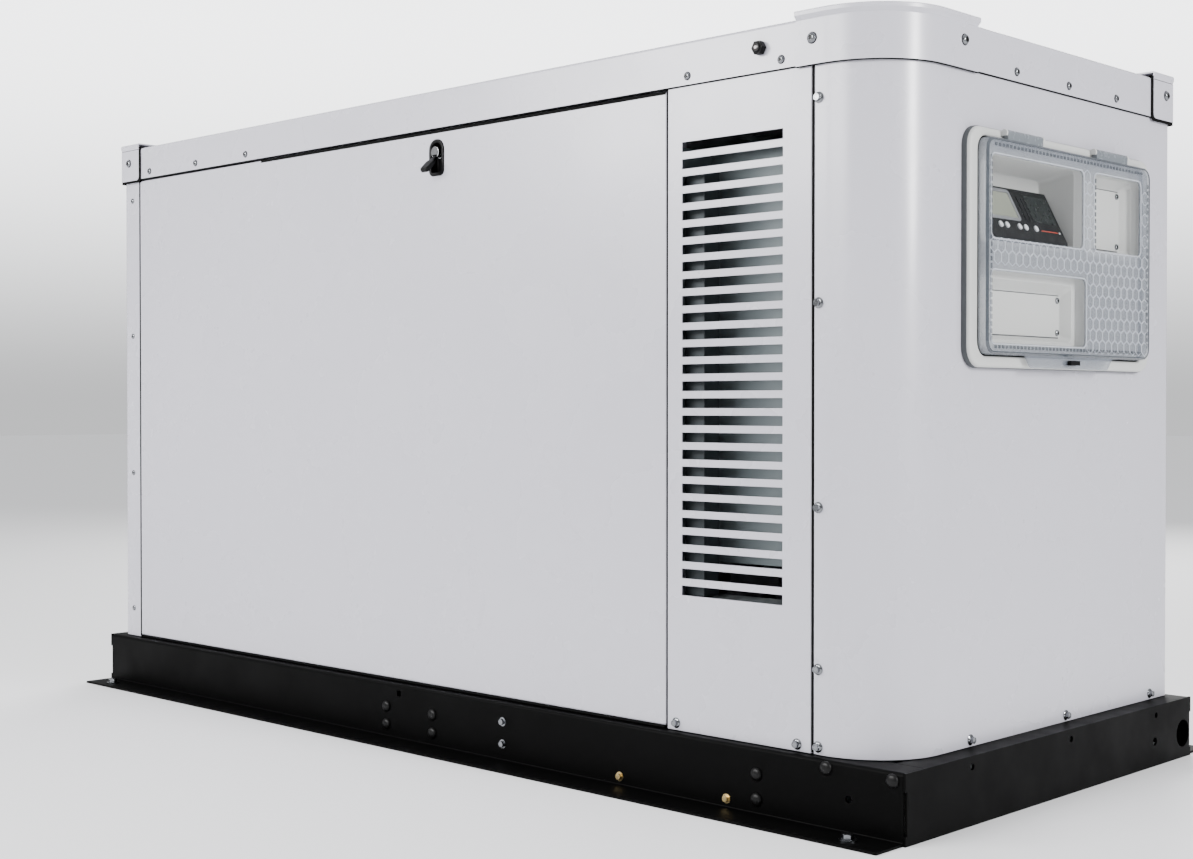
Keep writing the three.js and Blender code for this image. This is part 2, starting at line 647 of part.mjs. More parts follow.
// Four runners gather into a log on the rear side of the head.
function exhaustManifold() {
  const [x0] = engine.x;
  const z = engine.z[1] + 45;
  const log = rod("x", [x0 + 50, x0 + 440], [168, z], 26, 16);
  const runners = [0, 1, 2, 3].map((i) => rod("y", [105 + gap, 165], [z, x0 + 90 + i * 100], 18, 12));
  const riser = rod("z", [z, 780], [x0 + 400, 205], 24, 16);
  const elbow = rod("y", [160, 207], [z, x0 + 400], 24, 16);
  return join(log, ...runners, elbow, riser);
}

// The muffler lies above the engine's rear side, with its tailpipe running to the exhaust end.
function muffler() {
  const axis = [205, 860];
  const can = rod("x", [-640, -130], axis, 79, 28);
  const ends = [[-652, -638], [-132, -118]].map((range) => rod("x", range, axis, 66, 28));
  const tailpipe = rod("x", [-960, -650], axis, 24, 16);
  return join(can, ...ends, tailpipe);
}

// Air box over the head's front side, with a round intake snout and a duct down to the head.
function airCleaner() {
  const lowest = engine.z[1] + 20;
  const box = block([-420, -150], [-330, -140], [lowest + 90, lowest + 270]);
  const snout = rod("x", [-151, -60], [-235, lowest + 190], 42, 20);
  const manifold = block([-520, -160], [-170, -105 - gap], [lowest + 4, lowest + 60]);
  const throat = block([-320, -240], [-200, -140], [lowest + 30, lowest + 100]);
  return join(box, snout, manifold, throat);
}

// The alternator's barrel is open at its right end, where the rotor shows through the vent slots of its end bell.
function alternatorHousing() {
  const [x0, x1] = alternator.x;
  const centre = [crank.y, crank.z];
  const barrel = rod("x", [x0, x1], centre, alternator.radius, 32);
  const bore = rod("x", [x0 - 1, x1 - 16], centre, alternator.radius - alternator.wall, 32);
  const shaftHole = rod("x", [x1 - 17, x1 + 1], centre, 24, 16);
  const vents = [];
  const ventCount = 8;
  for (let i = 0; i < ventCount; i++) {
    const angle = (2 * Math.PI * (i + 0.5)) / ventCount;
    const at = [centre[0] + 100 * Math.cos(angle), centre[1] + 100 * Math.sin(angle)];
    vents.push(rod("x", [x1 - 17, x1 + 1], at, 26, 12));
  }
  const feet = [-1, 1].map((side) => {
    const y = side > 0 ? [110, 165] : [-165, -110];
    return block([14, 24], y, [crossmemberTop + gap, 240]);
  });
  const crest = crank.z + alternator.radius;
  const terminalBox = block([120, 320], [-90, 90], [crest - 8, crest + 75]);
  return join(cut(join(barrel, terminalBox), bore, shaftHole, ...vents), ...feet);
}

function alternatorRotor() {
  const centre = [crank.y, crank.z];
  const shaft = rod("x", [alternator.x[0] + 2, alternator.x[1] + 12], centre, 22, 16);
  const stack = rod("x", [80, 330], centre, 120, 28);
  const blower = rod("x", [20, 50], centre, 135, 28);
  return join(shaft, stack, blower);
}

addPiece("engine_block", engineBlock(), castIron);
addPiece("cylinder_head", cylinderHead(), castAluminium);
addPiece("exhaust_manifold", exhaustManifold(), castIron);
addPiece("muffler", muffler(), muffledSteel);
addPiece("air_cleaner", airCleaner(), blackPlastic);
addPiece("alternator_housing", alternatorHousing(), castAluminium);
addPiece("alternator_rotor", alternatorRotor(), castIron);

// ---- Cooling ----

const pulleyX = [engine.x[0] - 56, engine.x[0] - 31];
const pulleyRadius = { crank: 80, fan: 62 };
const grooveDepth = 8;

// A wheel with one belt groove in its rim.
function pulley(centre, radius) {
  const grooveX = grow(pulleyX, -5);
  const grooveFloor = rod("x", grow(grooveX, 1), centre, radius - grooveDepth, 28);
  const groove = cut(rod("x", grooveX, centre, radius + 1, 28), grooveFloor);
  return cut(rod("x", pulleyX, centre, radius, 28), groove);
}

function crankPulley() {
  const centre = [crank.y, crank.z];
  const bolt = rod("x", [pulleyX[0] - 10, pulleyX[0] + 1], centre, 14, 6);
  return join(pulley(centre, pulleyRadius.crank), bolt);
}

// The fan: its pulley runs on the water pump's nose, and twisted blades stand round a hub in front of it.
function coolingFan() {
  const centre = [fan.y, fan.z];
  const pumpNose = engine.x[0] - 60;
  const bore = rod("x", [pumpNose - gap, pulleyX[1] + 1], centre, 20 + gap, 16);
  const plateDisc = rod("x", [pumpNose - 8, pulleyX[0] + 1], centre, 50, 28);
  const wheel = cut(join(pulley(centre, pulleyRadius.fan), plateDisc), bore);
  const stub = rod("x", [fan.x[1] - 2, pumpNose - 7], centre, 26, 16);
  const hub = rod("x", fan.x, centre, 52, 24);
  const blades = [];
  const bladeRoot = 44;
  const middle = (fan.x[0] + fan.x[1]) / 2;
  const turned = new THREE.Matrix4();
  for (let i = 0; i < fan.blades; i++) {
    const blade = new THREE.BoxGeometry(4, 62, fan.radius - bladeRoot);
    blade.translate(0, 0, (fan.radius + bladeRoot) / 2);
    blade.applyMatrix4(turned.makeRotationZ(THREE.MathUtils.degToRad(60)));
    blade.applyMatrix4(turned.makeRotationX((2 * Math.PI * i) / fan.blades));
    blade.translate(middle, fan.y, fan.z);
    blades.push(toSolid(blade));
  }
  return join(wheel, stub, hub, ...blades);
}

// The belt round the two pulleys: an arc on each and two straight runs, thick enough to stand level with the rims.
function beltOutline(clearance) {
  const small = pulleyRadius.fan - grooveDepth + clearance;
  const large = pulleyRadius.crank - grooveDepth + clearance;
  const lean = Math.asin((large - small) / (fan.z - crank.z));
  const outline = new THREE.Shape();
  outline.absarc(fan.y, fan.z, small, lean, Math.PI - lean, false);
  outline.absarc(crank.y, crank.z, large, Math.PI - lean, 2 * Math.PI + lean, false);
  return outline;
}

function fanBelt() {
  const x = grow(pulleyX, -7);
  const outside = extrude(beltOutline(grooveDepth), "x", x, 14);
  return cut(outside, extrude(beltOutline(gap + 0.3), "x", grow(x, 1), 14));
}

// The core with its two tanks, a filler neck on top, and feet on the floor pan.
function radiatorCore() {
  const { x, y, z } = radiator;
  const core = block(grow(x, -6), [-y + 4, y - 4], z);
  const tanks = [[z[0] - 6, z[0] + 50], [z[1] - 60, z[1]]].map((range) => block(x, [-y, y], range));
  const neck = rod("z", [z[1] - 1, z[1] + 26], [(x[0] + x[1]) / 2, -150], 22, 16);
  const feet = [-1, 1].map((side) => {
    const foot = side > 0 ? [y - 70, y - 30] : [-y + 30, -y + 70];
    return block(grow(x, -4), foot, [floorTop + gap, z[0]]);
  });
  return join(core, ...tanks, neck, ...feet);
}

// A flat plate with a ring that the fan turns in.
function fanShroud() {
  const back = radiator.x[1] + gap;
  const wall = block([back, back + 6], [-radiator.y, radiator.y], [radiator.z[0], radiator.z[1]]);
  const ring = rod("x", [back + 5, fan.x[1] - 8], [fan.y, fan.z], fan.radius + 16, 36);
  const hole = rod("x", [back - 1, fan.x[1]], [fan.y, fan.z], fan.radius + 12, 36);
  return cut(join(wall, ring), hole);
}

addPiece("crank_pulley", crankPulley(), castIron);
addPiece("cooling_fan", coolingFan(), blackPlastic);
addPiece("fan_belt", fanBelt(), rubber);
addPiece("radiator_core", radiatorCore(), radiatorBlack);
addPiece("fan_shroud", fanShroud(), blackPlastic);

// ---- Battery and fuel ----

function battery() {
  const floor = floorTop + gap;
  const x = [250, 510];
  const y = [205, 378];
  const tray = block(grow(x, 6), [y[0] - 6, y[1] + 6], [floor, floor + 8]);
  const box = block(x, y, [floor + 7, floor + 205]);
  const posts = [300, 460].map((px) => rod("z", [floor + 204, floor + 222], [px, 250], 9, 12));
  return join(tray, box, ...posts);
}

// The regulator stands on a pipe riser from a foot on the floor.
function fuelRegulator() {
  const floor = floorTop + gap;
  const at = { x: 720, y: 60 };
  const foot = block([at.x - 60, at.x + 60], [at.y - 50, at.y + 50], [floor, floor + 6]);
  const riser = rod("z", [floor + 5, 300], [at.x, at.y], 17, 16);
  const valve = block([at.x - 45, at.x + 45], [at.y - 38, at.y + 38], [220, 300]);
  const diaphragm = rod("z", [330, 352], [at.x, at.y], 82, 28);
  const neck = rod("z", [299, 331], [at.x, at.y], 34, 20);
  const spring = rod("z", [351, 410], [at.x, at.y], 20, 16);
  const outlet = rod("x", [470, at.x], [at.y, 260], 15, 16);
  return join(foot, riser, valve, neck, diaphragm, spring, outlet);
}

addPiece("battery", battery(), blackPlastic);
addPiece("fuel_regulator", fuelRegulator(), castAluminium);

export default generator;
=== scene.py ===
import math

import bmesh
import bpy
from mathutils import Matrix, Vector


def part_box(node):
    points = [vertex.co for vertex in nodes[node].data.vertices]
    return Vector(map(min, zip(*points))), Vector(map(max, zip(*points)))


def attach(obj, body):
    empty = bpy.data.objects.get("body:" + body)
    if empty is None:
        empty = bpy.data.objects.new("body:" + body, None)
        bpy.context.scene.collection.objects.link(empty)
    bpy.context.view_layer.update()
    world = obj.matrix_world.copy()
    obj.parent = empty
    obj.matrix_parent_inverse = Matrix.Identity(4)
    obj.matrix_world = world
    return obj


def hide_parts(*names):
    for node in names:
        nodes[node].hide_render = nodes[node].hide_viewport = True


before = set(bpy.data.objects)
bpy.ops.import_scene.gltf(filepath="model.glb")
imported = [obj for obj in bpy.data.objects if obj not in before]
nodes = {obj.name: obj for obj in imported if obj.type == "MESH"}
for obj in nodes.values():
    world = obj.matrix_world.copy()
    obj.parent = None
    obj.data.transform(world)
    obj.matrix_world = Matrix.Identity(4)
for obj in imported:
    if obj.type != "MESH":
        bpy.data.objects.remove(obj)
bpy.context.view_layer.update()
mm = 0.001


# camera, floor and lights
stage = {
    "camera": (2.324, -2.3702, 0.5947),
    "forward": (-0.69537, 0.71852, -0.01379),
    "lens": 51.74,
    "floor": "#F1F1F2",
    "sky": "#F4F5F7",
    "fill": (0.22, 1.25, 0.7),  # the room's light at the horizon and high up, and how high that is
    "sweep": (0.86, 4.5, 0.22),  # the same for what is seen behind the object
}


def linear(hexColor):
    channels = [int(hexColor[i:i + 2], 16) / 255 for i in (1, 3, 5)]
    return (*[c / 12.92 if c <= 0.04045 else ((c + 0.055) / 1.055) ** 2.4 for c in channels], 1.0)


def addNode(tree, kind, inputs=None, **settings):
    node = tree.nodes.new(kind)
    for name, value in settings.items():
        setattr(node, name, value)
    for name, value in (inputs or {}).items():
        if isinstance(value, bpy.types.NodeSocket):
            tree.links.new(value, node.inputs[name])
        else:
            node.inputs[name].default_value = value
    return node


def addLight(name, place, target, size, power):
    data = bpy.data.lights.new(name, "AREA")
    data.shape = "RECTANGLE"
    data.size, data.size_y = size
    data.energy = power
    light = bpy.data.objects.new(name, data)
    light.location = place
    light.rotation_euler = (Vector(target) - Vector(place)).to_track_quat("-Z", "Y").to_euler()
    bpy.context.scene.collection.objects.link(light)


camera = bpy.data.objects.new("camera", bpy.data.cameras.new("camera"))
camera.data.lens = stage["lens"]
camera.location = stage["camera"]
camera.rotation_euler = Vector(stage["forward"]).to_track_quat("-Z", "Y").to_euler()
bpy.context.scene.collection.objects.link(camera)
bpy.context.scene.camera = camera

lights = {  # place, aim, size and watts
    "keySoftbox": ((0.15, -3.0, 1.8), (-0.1, 0.0, 0.75), (1.4, 1.1), 72),
    "sheenSoftbox": ((-1.35, -2.9, 1.75), (0.1, -0.3, 0.8), (1.2, 0.8), 62),  # the round corner's highlight
    "endStrip": ((3.5, -0.12, 1.6), (0.95, -0.3, 0.9), (0.34, 1.0), 90),
    "backSoftbox": ((-2.2, 3.8, 3.0), (0.0, 0.0, 0.6), (3.0, 2.2), 300),
}
for name, light in lights.items():
    addLight(name, *light)
world = bpy.data.worlds.new("softRoom")
world.use_nodes = True
room = world.node_tree
room.nodes["Background"].inputs["Color"].default_value = linear(stage["sky"])
ray = addNode(room, "ShaderNodeLightPath").outputs["Is Camera Ray"]
direction = addNode(room, "ShaderNodeTexCoord").outputs["Generated"]
height = addNode(room, "ShaderNodeSeparateXYZ", {"Vector": direction}).outputs["Z"]
low, high, top = stage["fill"]
fill = addNode(room, "ShaderNodeMapRange", {
    "Value": height, "From Min": 0.0, "From Max": top, "To Min": low, "To Max": high})
low, high, top = stage["sweep"]
sweep = addNode(room, "ShaderNodeMapRange", {
    "Value": height, "From Min": 0.0, "From Max": top, "To Min": low, "To Max": high},
    interpolation_type="SMOOTHSTEP")
glow = addNode(room, "ShaderNodeMix", {0: ray, 2: fill.outputs["Result"], 3: sweep.outputs["Result"]})
room.links.new(glow.outputs[0], room.nodes["Background"].inputs["Strength"])
bpy.context.scene.world = world
print("stage ready")


# materials
def newMaterial(name, color, roughness, metallic=0.0, shade=(0.04, 180), grain=None, roughShift=0.06, specular=0.5,
                sockets=None):
    # shade is a broad tint's amount and its size, grain a bump's height and its size, all sizes in millimetres
    material = bpy.data.materials.new(name)
    material.use_nodes = True
    tree = material.node_tree
    shader = tree.nodes["Principled BSDF"]
    shader.inputs["Metallic"].default_value = metallic
    shader.inputs["Specular IOR Level"].default_value = specular
    for socket, value in (sockets or {}).items():
        shader.inputs[socket].default_value = value
    amount, shadeSize = shade
    place = addNode(tree, "ShaderNodeTexCoord").outputs["Object"]
    broad = addNode(tree, "ShaderNodeTexNoise", {"Vector": place, "Scale": 1000 / shadeSize, "Detail": 3.0})
    full = linear(color)
    low = (*[c * (1 - amount) for c in full[:3]], 1.0)
    high = (*[min(1.0, c * (1 + amount)) for c in full[:3]], 1.0)
    tint = addNode(tree, "ShaderNodeMix", {0: broad.outputs["Fac"], 6: low, 7: high}, data_type="RGBA")
    tree.links.new(tint.outputs[2], shader.inputs["Base Color"])
    smear = addNode(tree, "ShaderNodeTexNoise", {"Vector": place, "Scale": 4000 / shadeSize, "Detail": 4.0})
    rough = addNode(tree, "ShaderNodeMapRange", {
        "Value": smear.outputs["Fac"], "From Min": 0.3, "From Max": 0.7,
        "To Min": roughness - roughShift, "To Max": roughness + roughShift})
    tree.links.new(rough.outputs["Result"], shader.inputs["Roughness"])
    if grain:
        grainHeight, grainSize = grain
        fine = addNode(tree, "ShaderNodeTexNoise", {"Vector": place, "Scale": 1000 / grainSize, "Detail": 2.0})
        bump = addNode(tree, "ShaderNodeBump", {
            "Height": fine.outputs["Fac"], "Strength": 1.0, "Distance": grainHeight * mm})
        tree.links.new(bump.outputs["Normal"], shader.inputs["Normal"])
    return material


# satin powder coat: sprayed dry and baked, so it has a soft orange peel a few millimetres across
greyCoat = newMaterial("powderCoatLightGrey", "#C3C2CB", 0.27, shade=(0.015, 600), grain=(0.012, 3.0),
                       roughShift=0.03, specular=0.8)
# the base's coat is the same process in matt black: only faint sheens at its folds, and dust
blackCoat = newMaterial("powderCoatBlack", "#030303", 0.5, shade=(0.2, 260), grain=(0.02, 2.2), specular=0.05)
# bright zinc plate on pressed heads
zincPlate = newMaterial("zincPlatedSteel", "#7E8083", 0.17, 1.0, shade=(0.12, 10))
# yellow chromate over zinc, patchy by nature
yellowZinc = newMaterial("yellowChromateSteel", "#CDB682", 0.32, 1.0, shade=(0.14, 10))
# black phosphate bolts, slightly oily
blackBolt = newMaterial("blackPhosphateSteel", "#080808", 0.36, shade=(0.1, 8), specular=0.2)
# polished chrome of the lock: it mirrors the room
chromePlate = newMaterial("polishedChrome", "#DCDDDF", 0.1, 1.0, shade=(0.03, 20), roughShift=0.03)
# ABS moulded in a spark-eroded tool: a fine even grain
greyAbs = newMaterial("mouldedGreyAbs", "#BFC0BE", 0.5, shade=(0.015, 200), grain=(0.02, 0.9))
blackAbs = newMaterial("mouldedBlackAbs", "#040405", 0.38, shade=(0.06, 60), grain=(0.02, 0.8), specular=0.15)
# extruded rubber: a dead black line with no sheen
rubberSeal = newMaterial("epdmRubber", "#060606", 0.8, shade=(0.1, 40), grain=(0.05, 1.2), specular=0.1)


def galvanisedMaterial():
    # hot-dip zinc: crystals 8 to 20 mm across, each with its own grey and gloss
    material = newMaterial("hotDipGalvanised", "#A9AEB0", 0.42, 0.75, shade=(0.05, 200))
    tree = material.node_tree
    shader = tree.nodes["Principled BSDF"]
    place = addNode(tree, "ShaderNodeTexCoord").outputs["Object"]
    warp = addNode(tree, "ShaderNodeTexNoise", {"Vector": place, "Scale": 90.0, "Detail": 1.0})
    bent = addNode(tree, "ShaderNodeMix", {0: 0.012, 4: place, 5: warp.outputs["Color"]}, data_type="VECTOR")
    crystal = addNode(tree, "ShaderNodeTexVoronoi", {"Vector": bent.outputs[1], "Scale": 75.0})
    tint = addNode(tree, "ShaderNodeMix", {
        0: crystal.outputs["Color"], 6: linear("#8E9698"), 7: linear("#BCC1C2")}, data_type="RGBA")
    gloss = addNode(tree, "ShaderNodeMapRange", {"Value": crystal.outputs["Color"], "To Min": 0.32, "To Max": 0.55})
    tree.links.new(tint.outputs[2], shader.inputs["Base Color"])
    tree.links.new(gloss.outputs["Result"], shader.inputs["Roughness"])
    return material


galvanised = galvanisedMaterial()
# rolled sheet behind the slots: its zinc is too fine to show crystals, so it reads as an even blue grey
ductSheet = newMaterial("rolledZincSheet", "#737C7F", 0.45, 0.2, shade=(0.1, 260), grain=(0.02, 4))
# painted shade: a dark zinc bar without a shine, put where the duct's left side lies in shade
darkZinc = newMaterial("zincPaintedShade", "#33393C", 0.5, 0.4, shade=(0.2, 90), grain=(0.03, 3))


# polycarbonate: the windows are polished, the rest is moulded frosted and hides more of what is behind
def polycarbonate(name, color, roughness, alpha, **pattern):
    return newMaterial(name, color, roughness, sockets={"Alpha": alpha, "IOR": 1.58}, **pattern)


clearSheet = polycarbonate("clearPolycarbonate", "#AEB4BA", 0.06, 0.012, shade=(0.0, 180), roughShift=0.02)
frostedSheet = polycarbonate("frostedPolycarbonate", "#8E949E", 0.24, 0.42, shade=(0.08, 40), grain=(0.03, 1.2))
# painted highlight and shade: moulded ridges are painted pale where they catch the light, ribs and deep edges painted
# darker as shade
ridgeSheet = polycarbonate("ridgedPolycarbonate", "#D6DAE1", 0.2, 0.5, shade=(0.02, 180))
ribSheet = polycarbonate("prismRibPolycarbonate", "#555B63", 0.2, 0.62, shade=(0.05, 40))
lugPlastic = polycarbonate("thickPolycarbonate", "#757B81", 0.25, 0.85, shade=(0.06, 40))
edgeShade = polycarbonate("polycarbonateEdgeShade", "#4B5158", 0.15, 0.8, shade=(0.1, 50))
# painted shade: a soft dark grey band on the bezel's side and a dark outline round the covers, standing for the shade
# there
shadeBand = newMaterial("greyPaintedShadeBand", "#4A4D4F", 0.75, shade=(0.06, 60), grain=(0.05, 1.0))
# the controller: silicone keys, a satin frame, a display behind glass and printed polyester
keyCap = newMaterial("silverKeycap", "#D5D7DA", 0.35, 0.1, shade=(0.03, 12))
screenFrame = newMaterial("satinGreyAbs", "#6F7174", 0.4, shade=(0.03, 30), grain=(0.01, 0.8))
screenGlass = newMaterial("greyGreenDisplayGlass", "#83877A", 0.12, shade=(0.05, 50), roughShift=0.02)
sideLabel = newMaterial("darkGreenPolyester", "#0E1412", 0.3, shade=(0.12, 30), grain=(0.01, 1.0), specular=0.25)
orangeLine = newMaterial("orangeInkLine", "#A8331A", 0.45, shade=(0.08, 10))
# a dark acrylic lens, glossy like wet glass
lampLens = newMaterial("smokedAcrylic", "#22090A", 0.12, shade=(0.1, 10), roughShift=0.03,
                       sockets={"Coat Weight": 0.5})
# castings: a sand or die skin under paint or bare
castIron = newMaterial("paintedCastIron", "#3D4144", 0.5, 0.35, shade=(0.18, 90), grain=(0.12, 2.5))
castAluminium = newMaterial("sandCastAluminium", "#A2A5A7", 0.46, 0.85, shade=(0.08, 70), grain=(0.08, 2.0))
# aluminised steel that has seen heat: dull with straw and brown patches
exhaustSteel = newMaterial("aluminisedSteel", "#8D877F", 0.45, 0.85, shade=(0.2, 110), grain=(0.03, 4))
# stoved enamel over a soldered core, and fins that have darkened
radiatorPaint = newMaterial("stovedBlackEnamel", "#141516", 0.5, 0.1, shade=(0.15, 60), grain=(0.03, 1.5))
finCopper = newMaterial("blackenedFins", "#2A2B2C", 0.55, 0.5, shade=(0.25, 40))
# stacked laminations, blued at their edges, and a moulded battery case with a faint grain
lamination = newMaterial("siliconSteelStack", "#565451", 0.4, 0.8, shade=(0.15, 30))
batteryCase = newMaterial("polypropyleneCase", "#131417", 0.5, shade=(0.08, 60), grain=(0.02, 0.9))
# the body, material and slot that many pieces share
greySteel = ("enclosure", greyCoat, "enclosure_paint")
blackRubber = ("enclosure", rubberSeal, "rubber")
greyPlastic = ("enclosure", greyAbs, "grey_plastic")
print("materials ready")


# mesh helpers: every size below is in millimetres
def mergePoints(mesh, outward=True):
    # joins points that lie together and turns a closed mesh's faces outwards
    shape = bmesh.new()
    shape.from_mesh(mesh)
    bmesh.ops.remove_doubles(shape, verts=shape.verts, dist=1e-6)
    if outward:
        bmesh.ops.recalc_face_normals(shape, faces=shape.faces)
    shape.to_mesh(mesh)
    shape.free()


def makeObject(name, vertices, faces, closed=True):
    mesh = bpy.data.meshes.new(name)
    mesh.from_pydata([[c * mm for c in v] for v in vertices], [], faces)
    mergePoints(mesh, closed)
    made = bpy.data.objects.new(name, mesh)
    bpy.context.scene.collection.objects.link(made)
    return made


def onAxis(axis, u, v, w):
    # outlines are drawn in (y, z) along x, (x, z) along y and (x, y) along z
    return {"x": (w, u, v), "y": (u, w, v), "z": (u, v, w)}[axis]


def loft(name, rings, closeStart=True, closeEnd=True):
    count = len(rings[0])
    vertices = [p for ring in rings for p in ring]
    faces = []
    for row in range(len(rings) - 1):
        for i in range(count):
            j = (i + 1) % count
            a = row * count
            faces.append((a + i, a + j, a + count + j, a + count + i))
    if closeStart:
        faces.append(tuple(range(count)))
    if closeEnd:
        faces.append(tuple(range(len(vertices) - count, len(vertices))))
    return makeObject(name, vertices, faces)


def hoop(name, ringAt, section):
    # a strip carried all the way round, its section closed on itself
    return loft(name, [ringAt(*corner) for corner in section + section[:1]], False, False)


def extrudeOutline(name, outline, axis, low, high):
    return loft(name, [[onAxis(axis, u, v, w) for u, v in outline] for w in (low, high)])


def arc(centre, radius, start, end, steps):
    angles = [math.radians(start + (end - start) * i / steps) for i in range(steps + 1)]
    return [(centre[0] + radius * math.cos(a), centre[1] + radius * math.sin(a)) for a in angles]


def roundedRectangle(u, v, radius, steps=6):
    radii = radius if isinstance(radius, (list, tuple)) else [radius] * 4
    corners = [(u[1], v[0], -1, 1, -90), (u[1], v[1], -1, -1, 0), (u[0], v[1], 1, -1, 90), (u[0], v[0], 1, 1, 180)]
    points = []
    for (cu, cv, du, dv, start), r in zip(corners, radii):
        points += arc((cu + du * r, cv + dv * r), r, start, start + 90, steps)
    return points


def block(name, x, y, z):
    return extrudeOutline(name, [(x[0], y[0]), (x[1], y[0]), (x[1], y[1]), (x[0], y[1])], "z", *z)


def bakeModifiers(made):
    evaluated = made.evaluated_get(bpy.context.evaluated_depsgraph_get())
    mesh = bpy.data.meshes.new_from_object(evaluated)
    made.modifiers.clear()
    old = made.data
    made.data = mesh
    bpy.data.meshes.remove(old)


def thicken(made, wall):
    # gives an open sheet its thickness, inwards
    step = made.modifiers.new("sheet", "SOLIDIFY")
    step.thickness, step.offset = wall * mm, -1
    bakeModifiers(made)


def combine(made, tools, operation="DIFFERENCE"):
    for tool in tools:
        step = made.modifiers.new("combine", "BOOLEAN")
        step.operation, step.object, step.solver = operation, tool, "EXACT"
    bakeModifiers(made)
    for tool in tools:
        bpy.data.objects.remove(tool)
    return made


def cutWith(made, tools):
    joined = tools[0]
    if len(tools) > 1:
        with bpy.context.temp_override(active_object=joined, selected_editable_objects=tools, selected_objects=tools):
            bpy.ops.object.join()
    return combine(made, [joined])


def finishPiece(made, body, material, slot=None, replaces=(), bevel=0.0, segments=2, sharp=40):
    if material:
        made.data.materials.clear()
        made.data.materials.append(material)
    if bevel:
        step = made.modifiers.new("softEdges", "BEVEL")
        step.width, step.segments, step.limit_method = bevel * mm, segments, "ANGLE"
        step.angle_limit = math.radians(sharp - 5)
        step.use_clamp_overlap = True
        bakeModifiers(made)
    made.data.polygons.foreach_set("use_smooth", [True] * len(made.data.polygons))
    made.data.set_sharp_from_angle(angle=math.radians(sharp))
    weighted = made.modifiers.new("evenShading", "WEIGHTED_NORMAL")
    weighted.keep_sharp = True
    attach(made, body)
    if replaces:
        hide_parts(*replaces)
    return made


def softened(node, body, material, slot, bevel=1.0):
    # a merged copy of a CAD node with its edges eased
    copy = bpy.data.objects.new(node + "_eased", nodes[node].data.copy())
    bpy.context.scene.collection.objects.link(copy)
    shape = bmesh.new()
    shape.from_mesh(copy.data)
    bmesh.ops.remove_doubles(shape, verts=shape.verts, dist=1e-5)
    bmesh.ops.dissolve_limit(shape, angle_limit=math.radians(1), verts=shape.verts, edges=shape.edges)
    shape.to_mesh(copy.data)
    shape.free()
    return finishPiece(copy, body, material, slot, (node,), bevel)


# the base: two folded rails with foot flanges, and two end channels
sides = (("front", -1), ("rear", 1))
base = {"x": 1024, "y": 429, "top": 99.5, "flange": 62, "topFlange": 49, "plate": 4, "bend": 6,
        "hole": (930, 50), "slotX": (-49, -39), "slotZ": (78, 88)}


def baseRail(name, side):
    b = base
    railEnd = b["x"] - b["plate"] - 0.4
    t, r, web = b["plate"], b["bend"], -b["y"]
    outline = [(web - b["flange"], 0), (web - b["flange"], t)]
    outline += arc((web - (r - t), t + (r - t)), r - t, 270, 360, 4)
    outline += arc((web + r, b["top"] - r), r, 180, 90, 5)
    outline += [(web + b["topFlange"], b["top"]), (web + b["topFlange"], b["top"] - t)]
    outline += arc((web + r, b["top"] - r), r - t, 90, 180, 4)
    outline += arc((web - (r - t), t + (r - t)), r, 360, 270, 5)
    outline = [(u * -side, v) for u, v in outline]
    rail = extrudeOutline(name, outline, "x", -railEnd, railEnd)
    wall = (side * b["y"] - 9, side * b["y"] + 9)
    holes = [extrudeOutline("hole", arc(b["hole"], 5, 0, 345, 23), "y", *wall),
             block("hole", b["slotX"], wall, b["slotZ"])]
    return cutWith(rail, holes)


for suffix, side in sides:
    finishPiece(baseRail("folded_rail_" + suffix, side), "enclosure", blackCoat, "base_paint",
                ("base_rail_" + suffix,), 0.8)
for suffix in ("control", "exhaust"):
    softened("base_end_" + suffix, "enclosure", blackCoat, "base_paint", 1.0)
print("base ready")


# the control end panel: one sheet round the large corner, along the end and round the rear corner
skin = {"x": 990, "y": 413, "bottom": 101, "top": 1120, "corner": 115, "bend": 12, "wrap": 62, "sheet": 2,
        "windowY": (-212, 282), "windowZ": (676, 974), "notch": 7}
seams = {"left": -928, "centre": 580, "control": 855}


def acrossSkin(side, inner, outer):
    # from inside a long side's face to outside it, lowest first
    return sorted((side * (skin["y"] - inner), side * (skin["y"] + outer)))


def controlEndPanel():
    s = skin
    x, y, r, b, t = s["x"], s["y"], s["corner"], s["bend"], s["sheet"]
    start, end = seams["control"] + 2.2, x - s["wrap"] + 1
    outer = [(start, -y + 14)] + arc((start + 3, -y + 3), 3, 180, 270, 4)
    outer += arc((x - r, -y + r), r, -90, 0, 28) + arc((x - b, y - b), b, 0, 90, 8) + [(end, y)]
    inner = [(end, y - t)] + arc((x - b, y - b), b - t, 90, 0, 8) + arc((x - r, -y + r), r - t, 0, -90, 28)
    inner += arc((start + 3, -y + 3), 1, 270, 180, 3) + [(start + t, -y + 14)]
    panel = extrudeOutline("control_end_sheet", outer + inner, "z", s["bottom"], s["top"])
    opening = block("opening", (x - 9, x + 9), s["windowY"], s["windowZ"])
    low, cut = s["bottom"], s["notch"]
    notch = extrudeOutline("notch", [(start - 5, low - 5), (start + cut, low - 5), (start + cut, low),
                                     *arc((start + cut, low + cut), cut, 270, 180, 5),
                                     (start, low + cut), (start - 5, low + cut)], "y", -y - 5, -y + 1)
    return cutWith(panel, [opening, notch])


finishPiece(controlEndPanel(), *greySteel, ("end_panel_control",), 0.5)


# the louvre panels: equal slots punched in a flat sheet with returns at its sides
louvre = {"slots": 27, "pitch": 25.8, "height": 14.7, "width": 192, "top": 993, "left": 610, "bend": 3,
          "return": 15}


